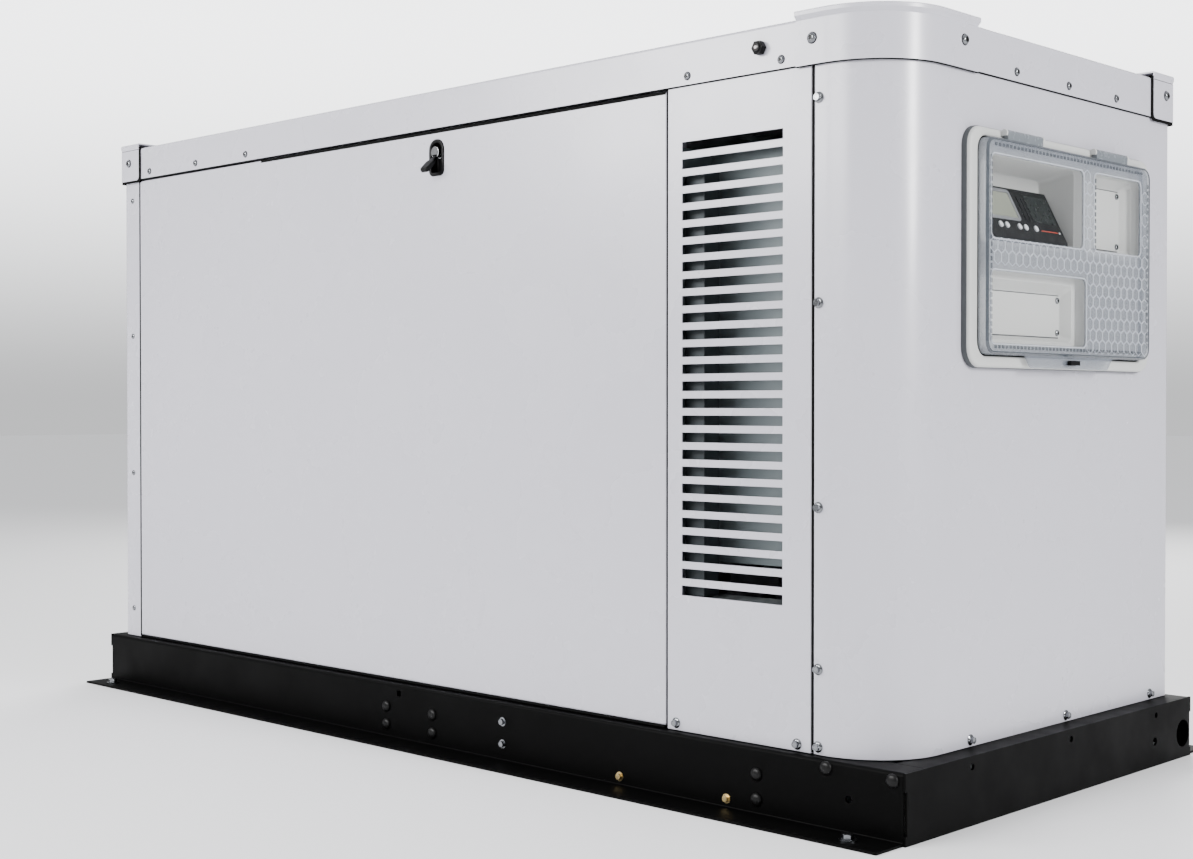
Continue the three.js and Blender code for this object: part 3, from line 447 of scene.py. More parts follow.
def louvrePanel(name, x0, x1, slotX, side):
    y, t, bend, back = skin["y"], skin["sheet"], louvre["bend"], -skin["y"] + louvre["return"]
    outer = [(x0, back)] + arc((x0 + bend, -y + bend), bend, 180, 270, 4)
    outer += arc((x1 - bend, -y + bend), bend, 270, 360, 4) + [(x1, back)]
    inner = [(x1 - t, back)] + arc((x1 - bend, -y + bend), bend - t, 360, 270, 3)
    inner += arc((x0 + bend, -y + bend), bend - t, 270, 180, 3) + [(x0 + t, back)]
    outline = [(u, v * -side) for u, v in outer + inner]
    panel = extrudeOutline(name, outline, "z", skin["bottom"], skin["top"])
    slots = []
    for i in range(louvre["slots"]):
        top = louvre["top"] - i * louvre["pitch"]
        slot = roundedRectangle((slotX, slotX + louvre["width"]), (top - louvre["height"], top), 0.8, 2)
        slots.append(extrudeOutline("slot", slot, "y", *acrossSkin(side, 9, 9)))
    return cutWith(panel, slots)


finishPiece(louvrePanel("louvre_sheet_front", seams["centre"], seams["control"] - 1.2, louvre["left"], -1),
            *greySteel, ("louvre_panel_front",), 0.3, 1)
finishPiece(louvrePanel("louvre_sheet_rear", seams["centre"], skin["x"] - skin["wrap"], louvre["left"] + 35, 1),
            *greySteel, ("louvre_panel_rear",), 0.3, 1)
softened("end_panel_exhaust", *greySteel, 0.4)
for suffix in ("front", "rear"):
    softened("intake_duct_" + suffix, "enclosure", ductSheet, "galvanised_steel", 0.4)
duct = {"ledgeY": (-398, -330), "ledgeZ": (296, 304), "stay": ((602, 640), (-396, -360), (306, 955))}
ledge = block("duct_ledge_front", (seams["centre"] + 8, seams["control"] - 6), duct["ledgeY"], duct["ledgeZ"])
finishPiece(ledge, "enclosure", galvanised, "galvanised_steel", bevel=1.0)
# the stay's dark zinc is painted shade for the deep left side of the duct
stay = block("duct_stay_front", *duct["stay"])
finishPiece(stay, "enclosure", darkZinc, "galvanised_steel", bevel=1.5)
print("end and louvre panels ready")


# the doors: trays with a rounded fold all round
door = {"x": (-926.5, 578.5), "z": (105, 1074), "depth": 30, "fold": 3, "corner": 4}
latch = {"x": 43, "z": 1027, "width": 31, "height": 56}


def doorTray(name, side):
    d, y, t = door, skin["y"], skin["sheet"]
    x, z, fold = d["x"], d["z"], d["fold"]

    def ring(inset, depth):
        return [(u, side * (y - depth), v) for u, v in roundedRectangle(
            (x[0] + inset, x[1] - inset), (z[0] + inset, z[1] - inset), max(d["corner"] - inset, 0.5))]

    rings = [ring(t, d["depth"]), ring(0, d["depth"])]
    rings += [ring(fold - fold * math.cos(a), fold - fold * math.sin(a)) for a in (0, 0.39, 0.79, 1.18, 1.57)]
    tray = loft(name, rings, False, True)
    inner = loft("inner", [ring(t, d["depth"]), ring(t, fold + t), ring(fold, t)], False, True)
    with bpy.context.temp_override(active_object=tray, selected_editable_objects=[tray, inner]):
        bpy.ops.object.join()
    mergePoints(tray.data)
    across, tall = latch["width"] / 2, latch["height"] / 2
    hole = roundedRectangle((latch["x"] - across, latch["x"] + across), (latch["z"] - tall, latch["z"] + tall),
                            (3, 14, 14, 3))
    return cutWith(tray, [extrudeOutline("hole", hole, "y", *acrossSkin(side, 9, 9))])


for suffix, side in sides:
    finishPiece(doorTray("door_tray_" + suffix, side), "door_" + suffix, greyCoat, "enclosure_paint",
                ("door_" + suffix,))
    # a black strip along part of the head
    strip = block("door_weatherstrip_" + suffix, (-482, door["x"][1] - 2), acrossSkin(side, 6, 0.8), (1069.5, 1074.4))
    finishPiece(strip, "door_" + suffix, rubberSeal, "rubber", bevel=0.6)
# black strips line the joints beside the doors and panels
seamStrips = {
    "left": (seams["left"] - 1.6, seams["left"] + 1.2),
    "centre": (door["x"][1] + 0.1, seams["centre"] + 0.9),
    "control": (seams["control"] - 1.0, seams["control"] + 2.0),
}
for suffix, side in sides:
    for name, x in seamStrips.items():
        if (suffix, name) != ("rear", "control"):
            strip = block("seam_strip_%s_%s" % (name, suffix), x, acrossSkin(side, 14, 0.1), (103, 1077))
            finishPiece(strip, *blackRubber)
print("doors ready")


# the roof: a skirt all round, a folded edge and a raised field
roof = {
    "x": 993, "y": 416, "bottom": 1078, "top": 1144, "corner": 118, "small": 2.5, "sheet": 2, "fold": 5,
    "field": [(146, 0), (152, 0.7), (214, 6.2), (221, 7), (260, 7)],  # inset and rise of the raised middle
}


def roofRing(inset, z):
    # the roof's outline, drawn in by an inset: one large corner and three small ones
    x, y = roof["x"] - inset, roof["y"] - inset
    r = max(roof["corner"] - inset, 1.0)
    s = max(roof["small"] - inset * 0.2, 0.8)
    ring = arc((x - r, -y + r), r, -90, 0, 20)
    for u, v, start in ((x - s, y - s, 0), (-x + s, y - s, 90), (-x + s, -y + s, 180)):
        ring += arc((u, v), s, start, start + 90, 4)
    return [(u, v, z) for u, v in ring]


def roofShell():
    r = roof
    f, t = r["fold"], r["sheet"]
    steps = [i * math.pi / 10 for i in range(6)]
    profile = [(t + f, r["top"] - t), (t, r["top"] - t - f), (t, r["bottom"]), (0, r["bottom"])]
    profile += [(f - f * math.cos(a), r["top"] - f + f * math.sin(a)) for a in steps]
    profile += [(inset, r["top"] + rise) for inset, rise in r["field"]]
    return loft("roof_shell", [roofRing(inset, z) for inset, z in profile])


finishPiece(roofShell(), *greySteel, ("roof_panel",), sharp=30)
# painted shadow: a black strip under the skirt draws the dark line where the skirt stands out over the panels
skirtShadow = hoop("skirt_tape", roofRing, [(3, 1078), (3, 1076.2), (0.5, 1076.2), (0.5, 1078)])
finishPiece(skirtShadow, *blackRubber)


# the corner caps: a wall with a rolled lip over each corner, on a black rubber liner
cap = {
    "proud": 3, "wall": 2.6, "bottom": 1076, "top": 1154, "crease": 1140, "cornerRadius": 8,
    "flare": {"large": 4.2, "small": 1.2},  # how far the rolled lip stands out beyond the wall
    "large": (167, 213), "small": (74, 78),  # reach along the long side and along the end
    "seal": {"proud": 1.4, "wall": 1.2, "bottom": 1074.3, "top": 1080},
    "liner": {"proud": 2.4, "wall": 1.5, "extra": 6, "bottom": 1071.5},
}


def capPath(sideX, sideY, reach, proud, extra=0.0):
    x, y = roof["x"] + proud, roof["y"] + proud
    r = roof["corner"] + proud if (sideX, sideY) == (1, -1) else 6 + proud
    steps = 26 if r > 50 else 6
    turn = arc((x - r, y - r), r, 90, 0, steps)
    reachX, reachY = reach[0] + extra, reach[1] + extra
    endX, endY = roof["x"] + cap["proud"] - reachX, roof["y"] + cap["proud"] - reachY
    path = [(endX, y)] + turn + [(x, endY)]
    return [(u * sideX, v * sideY) for u, v in path]


def capShell(name, sideX, sideY, reach, profile, extra=0.0, topCorner=False):
    rows = []
    for proud, z in profile:
        rows.append([(u, v, z) for u, v in capPath(sideX, sideY, reach, proud, extra)])
    if topCorner:
        inner = [sideX * (roof["x"] + cap["proud"] - reach[0]), sideY * (roof["y"] + cap["proud"] - reach[1])]
        rows.append([(*inner, profile[-1][1])] * len(rows[0]))
    count = len(rows[0])
    vertices = [p for row in rows for p in row]
    faces = []
    for j in range(len(rows) - 1):
        for i in range(count - 1):
            a, b = j * count + i, (j + 1) * count + i
            faces.append((a, a + 1, b + 1, b) if sideX * sideY < 0 else (a, b, b + 1, a + 1))
    return makeObject(name, vertices, faces, closed=False)


def roundSheetCorners(made, radius, spots):
    # softens the named corners of an open sheet before it gets its thickness
    shape = bmesh.new()
    shape.from_mesh(made.data)
    picked = [v for v in shape.verts if any((v.co - Vector(s) * mm).length < 2e-4 for s in spots)]
    if picked:
        bmesh.ops.bevel(shape, geom=picked, offset=radius * mm, segments=5, profile=0.5, affect="VERTICES")
    shape.to_mesh(made.data)
    shape.free()


def addCap(suffix, sideX, sideY, size):
    c, reach, flare = cap, cap[size], cap["proud"] + cap["flare"][size]
    lip = [(3, c["bottom"]), (3, 1100), (3, c["crease"]), (2.2, c["crease"] + 0.8), (2.6, c["crease"] + 2.2),
           (flare, c["crease"] + 7), (flare, c["top"] - 2), (flare - 1, c["top"] - 0.6), (flare - 3, c["top"])]
    shell = capShell("corner_cap_shell_" + suffix, sideX, sideY, reach, lip, topCorner=True)
    ends = [capPath(sideX, sideY, reach, c["proud"])[i] for i in (0, -1)]
    if size == "small":
        roundSheetCorners(shell, c["cornerRadius"], [(u, v, c["bottom"]) for u, v in ends])
    thicken(shell, c["wall"])
    finishPiece(shell, *greySteel, ("corner_cap_" + suffix,), sharp=35)
    if size == "large":
        seal = c["seal"]
        edge = [(seal["proud"], seal["bottom"]), (seal["proud"], seal["top"])]
        rubber = capShell("cap_seal_" + suffix, sideX, sideY, reach, edge)
        thicken(rubber, seal["wall"])
    else:
        liner = c["liner"]
        proud, extra = liner["proud"], liner["extra"]
        rise = [(proud, liner["bottom"]), (proud, 1100), (proud, roof["top"] + 2.5), (-8, roof["top"] + 3.4)]
        rubber = capShell("cap_liner_" + suffix, sideX, sideY, reach, rise, extra)
        ends = [capPath(sideX, sideY, reach, proud, extra)[i] for i in (0, -1)]
        roundSheetCorners(rubber, c["cornerRadius"], [(u, v, liner["bottom"]) for u, v in ends])
        thicken(rubber, liner["wall"])
    finishPiece(rubber, *blackRubber)


for suffix, sideX, sideY, size in (("front_right", 1, -1, "large"), ("rear_right", 1, 1, "small"),
                                   ("front_left", -1, -1, "small"), ("rear_left", -1, 1, "small")):
    addCap(suffix, sideX, sideY, size)
print("roof and caps ready")

# fasteners: one tree puts a head on each point, turned to face out of its panel
headSides = 24


def ringOf(radius, z):
    angles = [2 * math.pi * i / headSides for i in range(headSides)]
    return [(radius * math.cos(a), radius * math.sin(a), z) for a in angles]


def hexRing(apothem, z, limit=1e9):
    # a hexagon with as many points as the round rings, its corners cut at a limit
    points = []
    for i in range(headSides):
        angle = 2 * math.pi * i / headSides
        radius = min(apothem / math.cos((angle + math.pi / 6) % (math.pi / 3) - math.pi / 6), limit)
        points.append((radius * math.cos(angle), radius * math.sin(angle), z))
    return points


def buttonHead(size):
    r = size / 2
    dome = [ringOf(r * a, r * b) for a, b in (
        (1, 0), (1, 0.16), (0.95, 0.32), (0.84, 0.47), (0.68, 0.57), (0.5, 0.62))]
    return loft("buttonHead", dome + [hexRing(r * 0.44, r * 0.62), hexRing(r * 0.43, r * 0.18)])


def flangedHex(size):
    r = size / 2
    return loft("flangedHex", [
        ringOf(r, 0), ringOf(r, r * 0.12), ringOf(r * 0.8, r * 0.3), hexRing(r * 0.58, r * 0.34),
        hexRing(r * 0.58, r * 0.82), hexRing(r * 0.58, r * 0.92, r * 0.6), ringOf(r * 0.45, r * 0.92),
        ringOf(r * 0.4, r * 0.86)])


def domeHead(size):
    r = size / 2
    return loft("domeHead", [ringOf(r, 0), ringOf(r, r * 0.14), ringOf(r * 0.92, r * 0.3), ringOf(r * 0.72, r * 0.44),
                             ringOf(r * 0.42, r * 0.53), ringOf(r * 0.15, r * 0.56)])


def hexOnWasher(size):
    r = size / 2
    return loft("hexOnWasher", [
        ringOf(r, 0), ringOf(r, r * 0.16), ringOf(r * 0.7, r * 0.17), hexRing(r * 0.62, r * 0.18),
        hexRing(r * 0.62, r * 0.66), hexRing(r * 0.62, r * 0.76, r * 0.64), ringOf(r * 0.3, r * 0.78)])


def headShadowRing(size):
    # painted shadow: a thin black ring under a head
    r = size / 2
    return loft("washer", [ringOf(r - 0.6, 0), ringOf(r, 0), ringOf(r, 0.5), ringOf(r - 0.6, 0.7)])


def socketShade(size):
    # painted shade: a dark floor put in a button head's socket
    r = size / 2
    return loft("socketShade", [hexRing(r * 0.42, r * 0.3), hexRing(r * 0.42, r * 0.5), hexRing(r * 0.3, r * 0.52)])


def makeFastenerTree():
    tree = bpy.data.node_groups.new("headsOnPoints", "GeometryNodeTree")
    sockets = {"Points": "NodeSocketGeometry", "Head": "NodeSocketObject", "Finish": "NodeSocketMaterial"}
    for name, kind in sockets.items():
        tree.interface.new_socket(name, in_out="INPUT", socket_type=kind)
    tree.interface.new_socket("Heads", in_out="OUTPUT", socket_type="NodeSocketGeometry")
    given = addNode(tree, "NodeGroupInput")
    head = addNode(tree, "GeometryNodeObjectInfo", {"Object": given.outputs["Head"]})
    facing = addNode(tree, "GeometryNodeInputNamedAttribute", {"Name": "facing"}, data_type="FLOAT_VECTOR")
    turn = addNode(tree, "GeometryNodeInputNamedAttribute", {"Name": "turn"}, data_type="FLOAT")
    spin = addNode(tree, "FunctionNodeAxisAngleToRotation", {"Axis": (0, 0, 1), "Angle": turn.outputs["Attribute"]})
    aim = addNode(tree, "FunctionNodeAlignRotationToVector", {
        "Rotation": spin.outputs["Rotation"], "Vector": facing.outputs["Attribute"]}, axis="Z")
    placed = addNode(tree, "GeometryNodeInstanceOnPoints", {
        "Points": given.outputs["Points"], "Instance": head.outputs["Geometry"], "Rotation": aim.outputs["Rotation"]})
    real = addNode(tree, "GeometryNodeRealizeInstances", {"Geometry": placed.outputs["Instances"]})
    painted = addNode(tree, "GeometryNodeSetMaterial", {
        "Geometry": real.outputs["Geometry"], "Material": given.outputs["Finish"]})
    addNode(tree, "NodeGroupOutput", {"Heads": painted.outputs["Geometry"]})
    return tree


fastenerTree = makeFastenerTree()
socketOf = {item.name: item.identifier for item in fastenerTree.interface.items_tree}


def placeHeads(name, head, material, spots, body="enclosure", slot="chrome"):
    # each spot is a point, the way its head faces and, where it matters, its turn in degrees
    made = makeObject(name, [spot[0] for spot in spots], [], closed=False)
    points = made.data.attributes
    points.new("facing", "FLOAT_VECTOR", "POINT")
    points.new("turn", "FLOAT", "POINT")
    turns = [spot[2] if len(spot) > 2 else i * 37 % 60 for i, spot in enumerate(spots)]
    points["facing"].data.foreach_set("vector", [c for spot in spots for c in spot[1]])
    points["turn"].data.foreach_set("value", [math.radians(t) for t in turns])
    step = made.modifiers.new("heads", "NODES")
    step.node_group = fastenerTree
    step[socketOf["Head"]] = head
    step[socketOf["Finish"]] = material
    bakeModifiers(made)
    bpy.data.objects.remove(head)
    return finishPiece(made, body, None, slot, sharp=35)


front, rear, right, left, up = (0, -1, 0), (0, 1, 0), (1, 0, 0), (-1, 0, 0), (0, 0, 1)


def onBothSides(y, spots):
    # spots (x, z) on the front face, and the same on the rear
    return [((x, -y, z), front) for x, z in spots] + [((x, y, z), rear) for x, z in spots]


capY, capX = roof["y"] + cap["proud"], roof["x"] + cap["proud"]
capSpots = [((858, -capY, 1113), front), ((capX, -243, 1117), right), ((capX, 386, 1118), right)]
capSpots += [((-960, -capY, 1114), front), ((-960, capY, 1114), rear), ((960, capY, 1114), rear)]
capSpots += [((-capX, -386, 1116), left), ((-capX, 386, 1116), left)]
skirtSpots = onBothSides(roof["y"], [(x, 1091) for x in (-883, -708, -531, 623, 801)])
skirtSpots += [((roof["x"], y, 1092), right) for y in (-95, 61, 215)]
skirtSpots += [((-roof["x"], y, 1092), left) for y in (-250, 0, 250)]
# each bolt is three pieces: its head, a dark floor in its socket as painted shade and a black ring under it as painted
# shadow
for name, headSize, ringSize, spots in (("cap_bolt", 15, 17, capSpots), ("skirt_screw", 11.5, 13.2, skirtSpots)):
    placeHeads(name + "s", buttonHead(headSize), zincPlate, spots)
    placeHeads(name + "_sockets", socketShade(headSize), blackBolt, spots, slot="rubber")
    placeHeads(name + "_washers", headShadowRing(ringSize), rubberSeal, spots, slot="rubber")
panelSpots = [((866, -skin["y"], z), front) for z in (1029, 740, 451, 222, 112)]
panelSpots += [((599, -skin["y"], 112), front), ((829, -skin["y"], 111), front)]
panelSpots += [((599, skin["y"], 112), rear), ((914, skin["y"], 111), rear)]
panelSpots += [((944, skin["y"], z), rear) for z in (1029, 740, 451, 222, 112)]
panelSpots += [((skin["x"], y, 111), right) for y in (-213, 64, 346)]
panelSpots += [((-skin["x"], y, 111), left) for y in (-300, 0, 300)]
placeHeads("panel_screws", flangedHex(16), zincPlate, panelSpots)
stripSpots = onBothSides(skin["y"], [(-955, z) for z in (1034, 744, 451, 160)])
placeHeads("strip_screws", domeHead(11), zincPlate, stripSpots)
carriageSpots = onBothSides(base["y"], [(768, 61), (768, 24), (892, 88), (1003, 87),
                                        (-78, 57), (-78, 25), (48, 57), (48, 25)])
placeHeads("base_carriage_bolts", domeHead(20), blackBolt, carriageSpots, slot="base_paint")
placeHeads("base_small_bolts", hexOnWasher(15), zincPlate, onBothSides(base["y"], [(228, 68), (228, 31)]))
placeHeads("base_plated_bolts", hexOnWasher(14.5), yellowZinc, onBothSides(base["y"], [(712, 17), (496, 17)]))
footSpots = [((x, side * (base["y"] + 36), base["plate"]), up) for x in (955, -955) for side in (-1, 1)]
placeHeads("hold_down_bolts", hexOnWasher(26), zincPlate, footSpots)
print("fasteners ready")


# the status lamp's hexagonal fitting and lens
softened("status_light", "enclosure", blackAbs, "black_plastic", 1.2)
lampAt = (764, 1112)
lens = loft("status_lens", [[(lampAt[0] + u, -roof["y"] - out, lampAt[1] + v) for u, v, _ in ringOf(r, 0)]
                            for r, out in ((6.6, 9.5), (6.4, 11.6), (4.8, 12.8), (2.2, 13.4))])
finishPiece(lens, "enclosure", lampLens, "black_plastic")


# the latches: an arched cup with a rolled rim, a lock, and a folding lever
cup = {"rim": 4, "rise": 2.4, "wall": 2.5, "depth": 13}
pull = {
    "pivot": (416.4, 1027.5), "tilt": 45,
    # how far along, half the width and half the thickness
    "rows": [(-3, 3.6, 2.2), (-1.5, 4.4, 2.8), (3, 4.6, 3.0), (9, 5.2, 3.1), (13, 8.8, 3.4), (18, 10.2, 3.8),
             (30, 10.0, 4.2), (35, 9.2, 4.2), (37.4, 7.6, 3.2), (38.2, 5.2, 1.8)],
}


def latchCup(name, side):
    x0, x1 = latch["x"] - latch["width"] / 2, latch["x"] + latch["width"] / 2
    z0, z1 = latch["z"] - latch["height"] / 2, latch["z"] + latch["height"] / 2

    def ring(grown, out):
        top = max(latch["width"] / 2 - 1 + grown, 2)
        low = max(6 + grown, 2)
        points = roundedRectangle((x0 - grown, x1 + grown), (z0 - grown, z1 + grown), (low, top, top, low), 8)
        return [(u, side * (skin["y"] + out), v) for u, v in points]

    rim, rise, wall, depth = cup["rim"], cup["rise"], cup["wall"], cup["depth"]
    rings = [ring(-0.6, -depth - 2), ring(-0.6, 0.2), ring(rim, 0.2), ring(rim, 0.9), ring(rim - 0.7, rise - 0.5),
             ring(rim - 1.8, rise), ring(-wall + 1.6, rise), ring(-wall + 0.5, rise - 0.7), ring(-wall, rise - 2),
             ring(-wall, -depth + 3), ring(-wall - 1, -depth + 0.8), ring(-wall - 3, -depth)]
    return loft(name, rings)


def latchLever(name, side):
    # drawn along its own length from the pivot, then tilted out
    tilt = math.radians(pull["tilt"])
    rings = []
    for along, half, thick in pull["rows"]:
        ring = []
        for u, v in roundedRectangle((-half, half), (-thick, thick), min(thick, half) * 0.6, 4):
            out = along * math.sin(tilt) + v * math.cos(tilt)
            down = -along * math.cos(tilt) + v * math.sin(tilt)
            ring.append((latch["x"] + u, side * (pull["pivot"][0] + out), pull["pivot"][1] + down))
        rings.append(ring)
    return loft(name, rings)


for suffix, side in sides:
    finishPiece(latchCup("latch_cup_moulding_" + suffix, side), "door_" + suffix, blackAbs, "black_plastic",
                ("latch_cup_" + suffix,))
    softened("latch_hub_" + suffix, "hub_" + suffix, chromePlate, "chrome", 0.8)
    finishPiece(latchLever("latch_lever_moulding_" + suffix, side), "lever_" + suffix, blackAbs, "black_plastic",
                ("latch_lever_" + suffix,))
    softened("door_seal_" + suffix, "seal_" + suffix, rubberSeal, "rubber", 0.3)
print("latches ready")


# the control window: a moulded bezel with three drafted pockets
bezel = {"y": (-241, 312), "z": (650, 998), "front": 1004, "corner": 30, "back": 934, "shallowBack": 966}
lid = {"y": (-217, 286), "z": (669, 983), "front": 1018, "corner": 20, "back": 998.6}
lip = {"y": (-219, 288), "z": (667, 985), "corner": 22}  # the step in the bezel that the lid sits in
pockets = {  # draft is how far each wall leans in: low y, high y, foot and head
    "controller": {"y": (-189, 69), "z": (836, 962), "back": 938, "draft": (4, 4, 3, 12)},
    "upper": {"y": (124, 262), "z": (836, 962), "back": 980, "draft": (6, 16, 8, 16)},
    "lower": {"y": (-188, 66), "z": (690, 786), "back": 980, "draft": (6, 12, 8, 18)},
}


def ringIn(area, inset, x):
    # the outline of an area of the end face, drawn in by an inset
    y, z = area["y"], area["z"]
    shape = roundedRectangle((y[0] + inset, y[1] - inset), (z[0] + inset, z[1] - inset), max(area["corner"] - inset, 1))
    return [(x, u, v) for u, v in shape]


def hoopRound(name, area, section):
    return hoop(name, lambda inset, x: ringIn(area, inset, x), section)


def bezelMoulding():
    b = bezel
    outer = [(0, 990.4), (0, 997.5), (0.6, 1000.6), (2.2, 1002.9), (4.6, 1003.8), (7, 1004)]
    rings = [ringIn(b, inset, x) for inset, x in outer]
    step = [(-3.5, 1004), (-1.2, 1003.5), (0, 1002), (0, 999), (1, 998)]
    rings += [ringIn(lip, inset, x) for inset, x in step]
    moulding = loft("control_bezel_moulding", rings)
    tubs = [block("deepTub", (b["back"], 991.5), (-205, 85), (820, 968)),
            block("tub", (b["shallowBack"], 991.5), (-205, 275), (682, 968))]
    combine(tubs[0], tubs[1:], "UNION")
    combine(moulding, tubs[:1], "UNION")
    cutters = []
    for pocket in pockets.values():
        d = pocket["draft"]
        span = b["front"] + 1 - pocket["back"]

        def ring(x, inset, radius):
            back = (b["front"] + 1 - x) / span
            y = (pocket["y"][0] + d[0] * back + inset, pocket["y"][1] - d[1] * back - inset)
            z = (pocket["z"][0] + d[2] * back + inset, pocket["z"][1] - d[3] * back - inset)
            return [(x, u, v) for u, v in roundedRectangle(y, z, radius, 5)]

        back = pocket["back"]
        cutters.append(loft("pocket", [ring(b["front"] + 1, 0, 9), ring(back + 3, 0, 7), ring(back + 0.8, 0.8, 6.2),
                                       ring(back, 3, 4)]))
    return cutWith(moulding, cutters)


finishPiece(bezelMoulding(), *greyPlastic, ("control_bezel",), 1.6, 3)
# the bezel's outer side is a dark grey band of painted shade
bezelShadeSection = [(1.5, 990.3), (-0.4, 990.3), (-0.6, 992), (-0.6, 997.4), (-0.2, 998.8), (1.5, 998.8)]
bezelShade = hoopRound("bezel_gasket", bezel, bezelShadeSection)
finishPiece(bezelShade, "enclosure", shadeBand, "grey_plastic")
# painted shadow: a black ring in the bezel's step draws the dark line round the lid
lidShadowSection = [(-1.9, 998.1), (-1.9, 1002.6), (-1.2, 1003.4), (-0.4, 1002.6), (-0.4, 998.1)]
lidShadowRing = hoopRound("lid_seal", lid, lidShadowSection)
finishPiece(lidShadowRing, *blackRubber)
hingeLugs = ((-154, -54), (112, 213))
hinge = {"x": 1009.6, "z": 993, "radius": 4.9, "ear": 4}


def barrelOutline(radius, footX, footZ):
    return arc((hinge["x"], hinge["z"]), radius, -20, 200, 14) + [(footX[0], footZ), (footX[1], footZ)]


ears = []
for low, high in hingeLugs:
    for y in ((low - hinge["ear"] - 0.4, low - 0.4), (high + 0.4, high + hinge["ear"] + 0.4)):
        ears.append(extrudeOutline("ear", barrelOutline(5.2, (1003, 1014), 988.5), "y", *y))
for i, ear in enumerate(ears):
    ear.name = "lid_hinge_ear_%d" % (i + 1)
    finishPiece(ear, *greyPlastic, bevel=0.8)


# the lid: a frosted frame with polished windows, ribs round its edge and a honeycomb inside
windows = [
    {"y": (-205, 62), "z": (838, 957), "corner": 9},
    {"y": (98, 250), "z": (838, 957), "corner": 9},
    {"y": (-205, 71), "z": (686, 790), "corner": 9},
]
comb = {"across": 20.2, "line": 1.2, "rise": 0.7}


def lidFrame():
    profile = [(7, 1015), (4, 1014.2), (3, 1011.5), (3, lid["back"]), (0, lid["back"]), (0, 1012), (1.1, 1015.6),
               (3.4, 1017.5), (7, lid["front"])]
    frameMade = loft("lid_frame", [ringIn(lid, inset, x) for inset, x in profile])
    cutters = [extrudeOutline("window", roundedRectangle(w["y"], w["z"], w["corner"]), "x", 1005, 1025)
               for w in windows]
    cutWith(frameMade, cutters)
    tab = extrudeOutline("tab", [(-106, 670.5), (-90, 653), (-86, 651), (143, 651), (147, 653), (163, 670.5)],
                         "x", 1012, 1016)
    return combine(frameMade, [tab], "UNION")


finishPiece(lidFrame(), "lid", frostedSheet, "clear_plastic", ("control_lid",), 0.5)
for i, (low, high) in enumerate(hingeLugs):
    outline = barrelOutline(hinge["radius"], (1006.6, 1014.2), 981.5)
    barrel = extrudeOutline("lid_hinge_barrel_%d" % (i + 1), outline, "y", low, high)
    finishPiece(barrel, "lid", lugPlastic, "clear_plastic", bevel=0.6)
for i, window in enumerate(windows):
    paneSteps = [(0.2, 1014.4), (0.2, 1016.2), (1.6, 1017), (3, 1017)]
    pane = loft("lid_pane_%d" % (i + 1), [ringIn(window, inset, x) for inset, x in paneSteps])
    finishPiece(pane, "lid", clearSheet, "clear_plastic")
    # each window's rim is moulded, and its pale colour is a painted highlight along the edge
    rimSection = [(-3, 1017.9), (-2.6, 1018.8), (-1.2, 1018.8), (-0.6, 1017.9)]
    windowRim = hoopRound("lid_window_rim_%d" % (i + 1), window, rimSection)
    finishPiece(windowRim, "lid", ridgeSheet, "clear_plastic")
# painted shade: a dark band just inside the lid's edge stands for the dark edge of the moulding
edgeSection = [(0.8, 1015.2), (1.0, 1016.4), (3.2, 1018.3), (4.6, 1018.3), (3.6, 1017), (1.6, 1015.2)]
edgeLine = hoopRound("lid_edge_line", lid, edgeSection)
finishPiece(edgeLine, "lid", edgeShade, "clear_plastic")


def within(area, y, z, margin):
    # whether a point lies in an area grown by a margin
    return all(low - margin < value < high + margin for value, (low, high) in ((y, area["y"]), (z, area["z"])))


def honeycombCell():
    outer, inner = comb["across"] / 2, comb["across"] / 2 - comb["line"]
    rings = []
    for apothem, z in ((outer, 0), (outer - 0.3, comb["rise"]), (inner + 0.3, comb["rise"]), (inner, 0)):
        rings.append([(apothem / math.cos(math.pi / 6) * math.cos(math.radians(60 * i)),
                       apothem / math.cos(math.pi / 6) * math.sin(math.radians(60 * i)), z) for i in range(6)])
    return loft("cell", rings + [rings[0]], False, False)


def honeycombSpots():
    spots = []
    across, rise = comb["across"], comb["across"] * math.sqrt(3) / 2
    for row in range(20):
        for column in range(30):
            y = lid["y"][0] + 18 + column * across + (row % 2) * across / 2
            z = lid["z"][0] + 18 + row * rise
            if within(lid, y, z, -17) and not any(within(w, y, z, 9) for w in windows):
                spots.append(((lid["front"], y, z), right, 0))
    return spots


ribs = {"pitch": 10.4, "inset": 11.2, "start": 12, "dividerY": 100, "dividerZ": 842, "dividerLength": 118}


def bar(name, halfWidths, halfHeights, ends):
    # a straight bar between two ends, narrower at the second if the sizes say so
    corners = ((-1, -1), (1, -1), (1, 1), (-1, 1))
    return loft(name, [[(u * a, v * b, w) for u, v in corners] for a, b, w in zip(halfWidths, halfHeights, ends)])


def ribSpots():
    spots = []
    pitch, inset, start, front = ribs["pitch"], ribs["inset"], ribs["start"], lid["front"]
    y0, y1, z0, z1 = lid["y"][0] + inset, lid["y"][1] - inset, lid["z"][0] + inset, lid["z"][1] - inset
    for i in range(int((y1 - y0 - 20) / pitch)):
        spots += [((front, y0 + start + i * pitch, z), right, 0) for z in (z0, z1)]
    for i in range(int((z1 - z0 - 20) / pitch)):
        spots += [((front, y, z0 + start + i * pitch), right, 90) for y in (y0, y1)]
    for i in range(int(ribs["dividerLength"] / pitch)):
        spots.append(((front, ribs["dividerY"], ribs["dividerZ"] + i * pitch), right, 90))
    return spots


